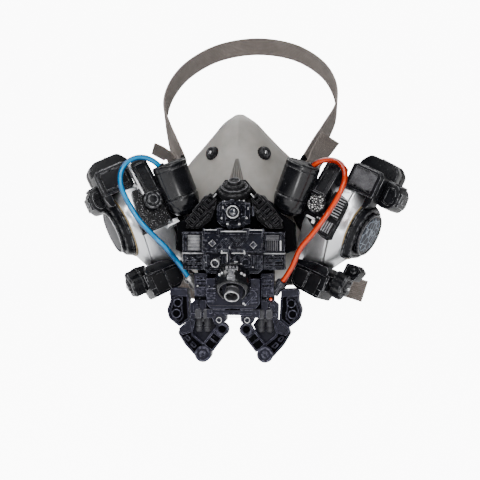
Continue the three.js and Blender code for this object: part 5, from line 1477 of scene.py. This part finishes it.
# lower plate and chin bar
plateLow = {
    "half": [[17, -69.6], [20, -66], [20, -47], [11, -47]],
    "bits": [
        [-19.2, -13.2, -58.2, -57, 89, 91.4], [-19.3, -13.3, -60.3, -59.1, 89, 91.2],
        [-19.3, -13.3, -62.4, -61.2, 89, 91.2], [-19.3, -13.3, -64.5, -63.3, 89, 91.2],
        [12.3, 18.3, -60.5, -57.5, 89, 91.6], [13, 18.3, -65, -62, 89, 91.2],
        [-19.3, -10.3, -55.7, -54.2, 89, 91], [10, 18.2, -55.7, -54.2, 89, 91]],
    "brace": [
        [-6.5, 6.5, -1.5, 1.5, 88, 92.4], [-6, 6, 1.9, 2.7, 88, 91.8], [-5.6, 5.2, -2.9, -2.2, 88, 91.8]],
    "braceTip": [[7.4, 9.2, -66, -64.6, 90, 93], [9, 10.2, -66.8, -65.8, 90, 92.8]]}
chinForm = {
    "half": [[5.6, -73], [5.6, -79], [8, -81.4], [14, -81.4], [16, -76.6], [20, -76.6], [20, -70]],
    "bits": [
        [-15, -6.3, -70.9, -68.6, 87, 88.8], [5.7, 15, -71, -68.8, 87, 88.8],
        [-14.3, 14.3, -74.6, -72.8, 87, 88.6], [-18.3, -15.8, -73.4, -70.4, 87, 89],
        [16.6, 19.1, -73.4, -70.4, 87, 89]],
    "edges": [
        [-19.6, -6.6, -70.5, -70.1, 87, 88.9], [6.2, 19.6, -70.5, -70.1, 87, 88.9],
        [-15.6, 15.6, -76.1, -75.7, 87, 88.5], [-19.4, 19.4, -67.4, -67, 89, 90.5]],
    "notch": [[-5.8, 5.1, -70.8, -68.5, 87, 88.3]],
    "eyelet": [[2.3, 86], [2.3, 88.8], [2.05, 89.2], [1.75, 89.2], [1.6, 88.8], [1.6, 86]],
    "eyeletAt": [(-10.6, -78.2, 0), (10.6, -78.2, 0)]}
bracePlace = makePlace((12.4, 0, -61.4), (0.68, 0, 0.73), (-0.73, 0, 0.68), (0, -1, 0))
plate = [slabAt(mirrored(plateLow["half"]), softSteps(deck, 90, 0.7), 0.8, front)]
plate += [boxesAt(plateLow["bits"], 0.3, front), boxesAt(plateLow["brace"], 0.3, bracePlace)]
makePiece("lowerPlateBody", plate, slateBlack, ["lower_plate"])
steelPiece("braceTip", [boxesAt(plateLow["braceTip"], 0.3, front)])
chin = [slabAt(mirrored(chinForm["half"]), softSteps(deck, 88, 0.7), 0.7, front)]
chin += [boxesAt(chinForm["bits"], 0.3, front)]
makePiece("chinBarBody", chin, slateBlack, ["chin_bar"])
# thin strips along the chin bar's edges that make light edge lines: painted highlight
makePiece("chinEdgeHighlights", [boxesAt(chinForm["edges"], 0.12, front)], pistonSlate)
# a dark box in the chin notch: painted shade
makePiece("chinNotch", [boxesAt(chinForm["notch"], 0.2, front)], shadeBlack)
eyelet = turnShell(softProfile(chinForm["eyelet"], 0.15), 36, loop=True)
steelPiece("chinEyelets", [placed(repeated(eyelet, chinForm["eyeletAt"]), front)])

# wings, posts, pistons, jaw arms
wingForm = {
    "outline": [
        [14, 6.6], [17.6, -3.4], [25.7, -10], [37.2, -9.6], [34.2, -0.4], [28, 8.2], [22.6, 15.2],
        [16.6, 16.6], [13, 12.4]], "slope": -47,
    "plates": [((18.4, 11.6), 4.6, 3.4, 84.8), ((25.2, 4), 4.4, 4.6, 84.2), ((31.6, -3.4), 4, 3.8, 83.4)],
    "plateBits": [
        [-0.9, 0.9, -2.2, 2.2, 79, 83.6], [-3.8, -2.4, -1.6, 1.6, 79, 83.4],
        [2.4, 3.8, -1.6, 1.6, 79, 83.4]], "bars": [(16.6, 4.6), (21, -1.6), (26.2, -6.6)],
    "barBits": [
        [-3.2, 3.2, -0.9, 0.9, 79, 82.8], [-2.2, -1.2, -1.3, 1.3, 79, 83.3],
        [1.2, 2.2, -1.3, 1.3, 79, 83.3]]}
postForm = {
    "outline": [
        [20.4, -77], [27, -77], [29, -78.8], [33.4, -78.8], [33.6, -67], [30, -64], [30, -43.6],
        [20.4, -43.6]], "bars": [[21.4, 28.8, z, z + 1.3, 80, 83.4] for z in (-46.8, -49.2, -51.6)],
    "bits": [
        [20.8, 29.6, -60.6, -54, 80, 83.2], [21.8, 25, -59.6, -55.2, 82, 84.2],
        [26, 28.8, -59.6, -55.2, 82, 83.8], [21.6, 32.4, -76, -73.6, 80, 83.6],
        [21.2, 26, -72.6, -64, 80, 83.2], [27, 31, -72.4, -67, 80, 83]],
    "slits": [[22.2, 28, z, z + 0.9, 80, 82.3] for z in (-48.1, -50.5, -53.2)],
    "gaps": [[26.2, 26.8, -73, -64, 80, 82.4], [21, 30, -63.6, -61.2, 80, 82.4]],
    "dot": {
        "left": [[0, 81], [1.35, 81], [1.35, 83.2], [0.9, 83.7], [0, 83.7]],
        "right": [[0, 83], [0.75, 83], [0.75, 84.3], [0.4, 84.6], [0, 84.6]]},
    "dotAt": {"left": (28, -62.8), "right": (27.4, -53)},
    "dotFinish": {"left": (orangeHose, "hose_orange"), "right": (brightSteel, "steel")}}
pistonForm = {
    "spots": [(20.6, -77.5), (26.9, -77.5)],
    "profile": [
        [0, -88.2], [1.6, -88.2], [2.3, -87.6], [2.7, -86.6], [2.7, -84.6], [2.35, -84.2], [2.35, -83.6],
        [2.7, -83.2], [2.7, -77.3], [0, -77.3]],
    "heads": [
        [20.5, 27, -80.5, -77.3, 76, 79], [18.2, 23.2, -77.8, -70.4, 80, 84.8],
        [24.4, 29.4, -77.8, -70.4, 80, 84.8]]}
armForm = {
    "upper": [
        [34.1, -78.6], [41.7, -84.6], [50, -78], [51.5, -71.5], [48.7, -64], [49.4, -58], [47.6, -55.5],
        [36.5, -56], [35, -62]],
    "panel": [
        [39.2, -61.6], [47.2, -61.2], [46.6, -64.6], [49, -71.6], [47.8, -77.2], [42.4, -81.4], [38.6, -77],
        [40, -70]], "cuff": [[35.6, -55.6], [48.4, -55], [49.6, -60.4], [35.4, -61.4]],
    "floor": [
        [35.6, -78.4], [41.5, -82.8], [48.6, -77.2], [50, -71.4], [47.2, -64], [47.8, -58], [37.8, -57.8],
        [36.6, -62.4]], "dents": [(43.2, -66.2, 3.3), (44.2, -74.4, 3.5)], "dentTop": 79.8,
    "lower": [
        [33.6, -79.4], [41.8, -85.9], [43, -89], [38, -97.5], [29.4, -107], [20.6, -99.4], [31.2, -90.4]],
    "lowerFloor": [
        [34.2, -81.6], [41, -87], [41.4, -89.2], [36.8, -96.6], [29.4, -104.8], [22.8, -99.2], [32.8, -91]],
    "web": [[13.6, -83], [17.6, -77.6], [34, -79.4], [33, -92], [24.6, -98], [18.4, -93]],
    "topBlock": [[29.4, -79.2], [34, -78.6], [42.4, -85.6], [39.4, -90.6], [31.6, -88]],
    "slots": [(35.6, -93), (31.2, -98)], "slotWay": (-0.66, -0.75), "elbow": (23.6, -104.7),
    "knuckle": (9.2, -86.0),
    "boss": [
        [0, 69], [6.2, 69], [6.2, 82.8], [5.7, 83.8], [4.6, 84], [4.2, 83.2], [3, 83.2], [2.6, 84],
        [1.6, 84], [1.3, 83.2], [0, 83.2]],
    "hub": [[0, 74], [5.2, 74], [5.2, 80.8], [4.7, 81.4], [3.3, 81.4], [2.9, 80.8], [2.6, 79], [0, 79]],
    "hubShade": [[0, 78.4], [2.5, 78.4], [2.5, 79.3], [0, 79.3]]}
wingSlope = math.radians(wingForm["slope"])
wingWay, slotWay = (math.cos(wingSlope), math.sin(wingSlope)), unit(np.array(armForm["slotWay"]))
elbow, knuckle = np.array(armForm["elbow"]), np.array(armForm["knuckle"])
reach = np.linalg.norm(elbow - knuckle) - 5.4  # from the knuckle to the edge of the elbow
linkBits = [[2, reach, -4.8, -3.4, 77, 80], [2, reach, 3.4, 4.8, 77, 80], [5.2, 6.4, -4, 4, 77, 79.9],
            [10.6, 11.8, -4, 4, 77, 79.9], [reach - 1, reach, -4.4, 4.4, 77, 80]]
linkShadeSheets = [
    [2.4, 5, -3.2, 3.2, 78, 78.9], [6.6, 10.4, -3.2, 3.2, 78, 78.9], [12, reach - 1.2, -3.2, 3.2, 78, 78.9]]


# a place on the front turned so that its first axis runs along a direction
def frontTurned(place, at, way):
    turn = np.array([[way[0], way[1], 0], [-way[1], way[0], 0], [0, 0, 1]])
    return movedPlace(place, *at)[0], turn @ place[1]


# a round recess with a raised rim
def dentRing(r, top):
    rim = [[r, top - 4], [r, top + 0.3], [r - 0.35, top + 0.6], [r - 0.7, top + 0.3], [r - 0.9, top - 1.6]]
    return turnShell(softProfile(rim + [[0, top - 1.6]], 0.2), 36)


# a dark disc on the floor of that recess, painted shade
def dentShade(r, top):
    return turnShell([[0, top - 2], [r - 0.9, top - 2], [r - 0.9, top - 1.3], [0, top - 1.3]], 28)


for tag, sign in sides.items():
    place = front if sign > 0 else frontMirror
    plates = [(frontTurned(place, at, wingWay), *size) for at, *size in wingForm["plates"]]
    wing = [slabAt(wingForm["outline"], softSteps(deck, 80.4, 1.0), 1.2, place)]
    for spot, a, b, top in plates:
        wing += [slabAt(boxOutline(-a, a, -b, b), framedSteps(78, top, 0.5, 0.8, 1.5), 0.7, spot)]
    wing += [boxesAt(wingForm["plateBits"], 0.3, spot) for spot, a, b, top in plates]
    wing += [boxesAt(wingForm["barBits"], 0.3, frontTurned(place, at, wingWay)) for at in wingForm["bars"]]
    sidePiece(tag, "wingPlate", wing, matteBlack, "gloss_black", "wing")
    post = [slabAt(postForm["outline"], softSteps(deck, 82, 0.7), 0.8, place)]
    post += [boxesAt(postForm["bars"] + postForm["bits"], 0.3, place)]
    sidePiece(tag, "postBody", post, slateBlack, "gloss_black", "post")
    dot = turnedAt(postForm["dot"][tag], 0.15, 24, movedPlace(place, *postForm["dotAt"][tag]))
    # the left dot takes the orange hose finish, so it glows faintly too: painted glow
    sidePiece(tag, "postDot", [dot], *postForm["dotFinish"][tag])
    upright = [makePlace((sign * x, y, 0), (1, 0, 0), (0, 1, 0), (0, 0, 1)) for x, y in pistonForm["spots"]]
    pistons = [turnedAt(pistonForm["profile"], 0.3, 32, spot) for spot in upright]
    pistons += [boxesAt(pistonForm["heads"], 0.9, place)]
    sidePiece(tag, "pistonPair", pistons, pistonGrey, "steel", "piston_pair")
    upper = [slabAt(armForm["upper"], framedSteps(64, 79.6, 0.5, 0.9, 2.6), 1.6, place)]
    upper += [slabAt(armForm["panel"], framedSteps(75, 79.2, 0.3, 0.4, 1.4), 1.4, place)]
    dents = [(movedPlace(place, x, z), r, armForm["dentTop"]) for x, z, r in armForm["dents"]]
    upper += [placed(dentRing(r, top), spot) for spot, r, top in dents]
    upper += [slabAt(armForm["cuff"], softSteps(66, 81.2, 0.9), 1.4, place)]
    sidePiece(tag, "armUpperShell", upper, slateBlack, "gloss_black", "arm_upper")
    slots = [frontTurned(place, at, slotWay) for at in armForm["slots"]]
    lower = [slabAt(armForm["lower"], framedSteps(70, 80, 0.5, 0.9, 1.8), 1.4, place)]
    lower += [slabAt(armForm["web"], softSteps(69, 73.6, 0.5), 0.8, place)]
    lower += [slabAt(armForm["topBlock"], framedSteps(72, 81, 0.4, 0.7, 1.2), 1.0, place)]
    lower += [turnedAt(armForm["boss"], 0.3, 56, movedPlace(place, *elbow))]
    slotSteps = framedSteps(77, 80.5, 0.25, 0.45, 1.7)
    lower += [slabAt(boxOutline(-2.3, 2.3, -1.5, 1.5), slotSteps, 0.8, spot) for spot in slots]
    sidePiece(tag, "armLowerShell", lower, slateBlack, "gloss_black", "arm_lower")
    linkPlace = frontTurned(place, knuckle, unit(elbow - knuckle))
    bar = [[-2, -4.4], [reach, -4.8], [reach, 4.8], [-2, 4.4]]
    strut = [slabAt(bar, softSteps(74, 78.4, 0.5), 0.8, linkPlace), boxesAt(linkBits, 0.3, linkPlace)]
    strut += [turnedAt(armForm["hub"], 0.3, 48, linkPlace)]
    sidePiece(tag, "linkStrut", strut, slateBlack, "gloss_black", "link")
    # dark sheets and boxes on the floors of recesses, slots, slits and gaps: painted shade
    shadeSheets = [boxesAt(linkShadeSheets, 0.1, linkPlace), placed(turnShell(armForm["hubShade"], 28), linkPlace)]
    shadeSheets += [placed(dentShade(r, top), spot) for spot, r, top in dents]
    shadeSheets += [boxesAt([[-1.6, 1.6, -0.8, 0.8, 78, 79.2]], 0.1, spot) for spot in slots]
    for spot, a, b, top in plates:
        shadeSheets += [boxesAt([[-a + 1.6, a - 1.6, -b + 1.6, b - 1.6, 80, top - 1.4]], 0.1, spot)]
    shadeSheets += [boxesAt(postForm["slits"] + postForm["gaps"], 0.1, place)]
    panelFloor = insetOutline(np.array(armForm["panel"], float), 0.8)
    shadeSheets += [slabAt(armForm["floor"], softSteps(76, 77.25, 0.05), 1.2, place)]
    shadeSheets += [slabAt(panelFloor, softSteps(76.6, 78.05, 0.05), 1.0, place)]
    shadeSheets += [slabAt(armForm["lowerFloor"], softSteps(77, 78.5, 0.05), 1.0, place)]
    sidePiece(tag, "recessShade", shadeSheets, shadeBlack, "matte_black")


# small boxes and pins over a patch: each spot and size comes from sines of its number; the pins, in bright
# steel, are painted sparkle
def smallParts(patch, count, seed):
    x0, x1, z0, z1, base = patch
    n = np.arange(count) + seed
    mix = lambda k: (np.sin(n * k) * 43758.5453) % 1.0
    x, z = x0 + (x1 - x0) * mix(12.9898), z0 + (z1 - z0) * mix(78.233)
    wide, high, rise = 0.35 + 1.1 * mix(37.719) ** 2, 0.3 + 0.7 * mix(11.135) ** 2, 0.35 + 0.9 * mix(93.989)
    upright = mix(5.77) > 0.5
    wide, high = np.where(upright, high, wide), np.where(upright, wide, high)
    rows = np.stack([x - wide, x + wide, z - high, z + high, np.full(count, base - 0.6), base + rise], -1)
    pins = np.stack([x[::5] + wide[::5] + 0.5, z[::5] + 0.4, base + rise[::5]], -1)
    return rows, pins


# each row is a patch with its base height, how many boxes it holds and the number of the first
patches = [
    ((-20, 12, -41, -28.6, 88.6), 64, 1), ((-10.6, -6, -6, 10, 86.6), 14, 101),
    ((8, 11.6, -6, 10, 86.6), 12, 141), ((-22, -5, -25, -14.6, 91.8), 16, 181),
    ((-19, -12, -66, -50, 89.8), 9, 221), ((12, 19, -66, -50, 89.8), 8, 261),
    ((-29, -21.4, -72, -45, 82), 22, 301), ((21.4, 29, -72, -45, 82), 22, 341),
    ((24.6, 37.6, -39.6, -29.6, 83.4), 12, 381), ((-37.6, -24.6, -39.6, -29.6, 83.4), 12, 421)]
rows, pins = [np.vstack(part) for part in zip(*[smallParts(*row) for row in patches])]
makePiece("frontSmallParts", [boxesAt(rows, 0.15, front)], navyBlack)
pinForm = [[0, -0.8], [0.3, -0.8], [0.3, 0.15], [0.15, 0.35], [0, 0.38]]
# bright steel pins scattered over the front: painted sparkle
steelPiece("frontGlintPins", [placed(repeated(turnShell(pinForm, 8), pins), front)])
print("stage: front made")

# pieces that keep the CAD shape, with their edges rounded
kept = {"neck_collar": (matteBlack, "matte_black", 0.3), "yoke": (shadeBlack, "matte_black", 0.4)}
for label, (finish, slotName, width) in kept.items():
    for tag in sides:
        roundedNode(f"{label}_{tag}", f"{label.replace('_', '')}Round_{tag}", finish, width)
roundedNode("carrier", "carrierRound", shadeBlack, 0.5)
roundedNode("fitting_left", "fittingRound_left", pistonSlate, 0.25)
roundedNode("fitting_right", "fittingRound_right", brightSteel, 0.25)
print("stage: kept shapes rounded")


# floor and light; to the camera alone the floor and the world are brighter by the glow
stageForm = {
    "size": 3.0, "height": -0.24, "points": 40, "riseFrom": 0.5, "rise": 1.2, "low": (0.93, 0.93, 0.93, 1),
    "high": (0.95, 0.95, 0.95, 1), "glow": 9.0, "worldLight": 0.12, "aim": (0, -0.05, 0)}


# a flat sheet whose back part rises with the square of the distance
def stagePlane(form):
    n, size = form["points"], form["size"]
    x, y = np.meshgrid(np.linspace(-size, size, n), np.linspace(-size, size, n), indexing="ij")
    back = np.maximum(y - form["riseFrom"] * size, 0)
    verts = np.stack([x, y, form["height"] + back ** 2 / size * form["rise"]], -1).reshape(-1, 3)
    mesh = bpy.data.meshes.new("floorSweep")
    mesh.from_pydata(verts, [], gridQuads(n, n, False).tolist())
    mesh.polygons.foreach_set("use_smooth", np.ones(len(mesh.polygons), bool))
    sockets = {"Roughness": 0.8, "Emission Color": (1, 1, 1, 1)}
    material, tree, shader = newMaterial("paleFloor", sockets)
    skin = useGroup(tree, grain, Fine=300.0, Broad=4.0)
    addColour(tree, shader, skin["Mottle"], form["low"], form["high"])
    seen = addNode(tree, "ShaderNodeLightPath").outputs["Is Camera Ray"]
    tree.links.new(mathNode(tree, "MULTIPLY", seen, form["glow"]), shader.inputs["Emission Strength"])
    mesh.materials.append(material)
    floor = bpy.data.objects.new("floorSweep", mesh)
    bpy.context.scene.collection.objects.link(floor)


stagePlane(stageForm)
lights = {
    "keySoft": {"at": (-0.6, -1.45, 1.0), "size": (0.36, 0.36), "power": 7.5},
    "fillSoft": {"at": (0.75, -1.4, 0.75), "size": (0.36, 0.36), "power": 2.4},
    "stripSoft": {"at": (0.2, -1.5, 0.62), "size": (0.16, 1.0), "power": 14.0},
    "lowSoft": {"at": (0.05, -0.67, -0.145), "size": (0.07, 0.06), "power": 0.4},
    "leftSoft": {"at": (-0.8, -0.15, 1.15), "size": (0.45, 0.45), "power": 6.0},
    "topSoft": {"at": (-0.2, -0.6, 1.5), "size": (0.9, 0.7), "power": 11.0},
    "floorSoft": {"at": (0.0, 1.9, 3.0), "size": (3.4, 3.4), "power": 200.0}}
for name, spec in lights.items():
    data = bpy.data.lights.new(name, "AREA")
    data.shape, data.energy = "RECTANGLE", spec["power"]
    data.size, data.size_y = spec["size"]
    lamp = bpy.data.objects.new(name, data)
    lamp.location = spec["at"]
    away = Vector(spec["at"]) - Vector(stageForm["aim"])
    lamp.rotation_euler = away.to_track_quat("Z", "Y").to_euler()
    bpy.context.scene.collection.objects.link(lamp)
world = bpy.data.worlds.new("studioWorld")
world.use_nodes = True
backdrop = world.node_tree.nodes["Background"]
backdrop.inputs["Color"].default_value = (1, 1, 1, 1)
seen = addNode(world.node_tree, "ShaderNodeLightPath").outputs["Is Camera Ray"]
strength = mathNode(world.node_tree, "MULTIPLY_ADD", seen, stageForm["glow"], stageForm["worldLight"])
world.node_tree.links.new(strength, backdrop.inputs["Strength"])
bpy.context.scene.world = world
print("stage: floor and light set")
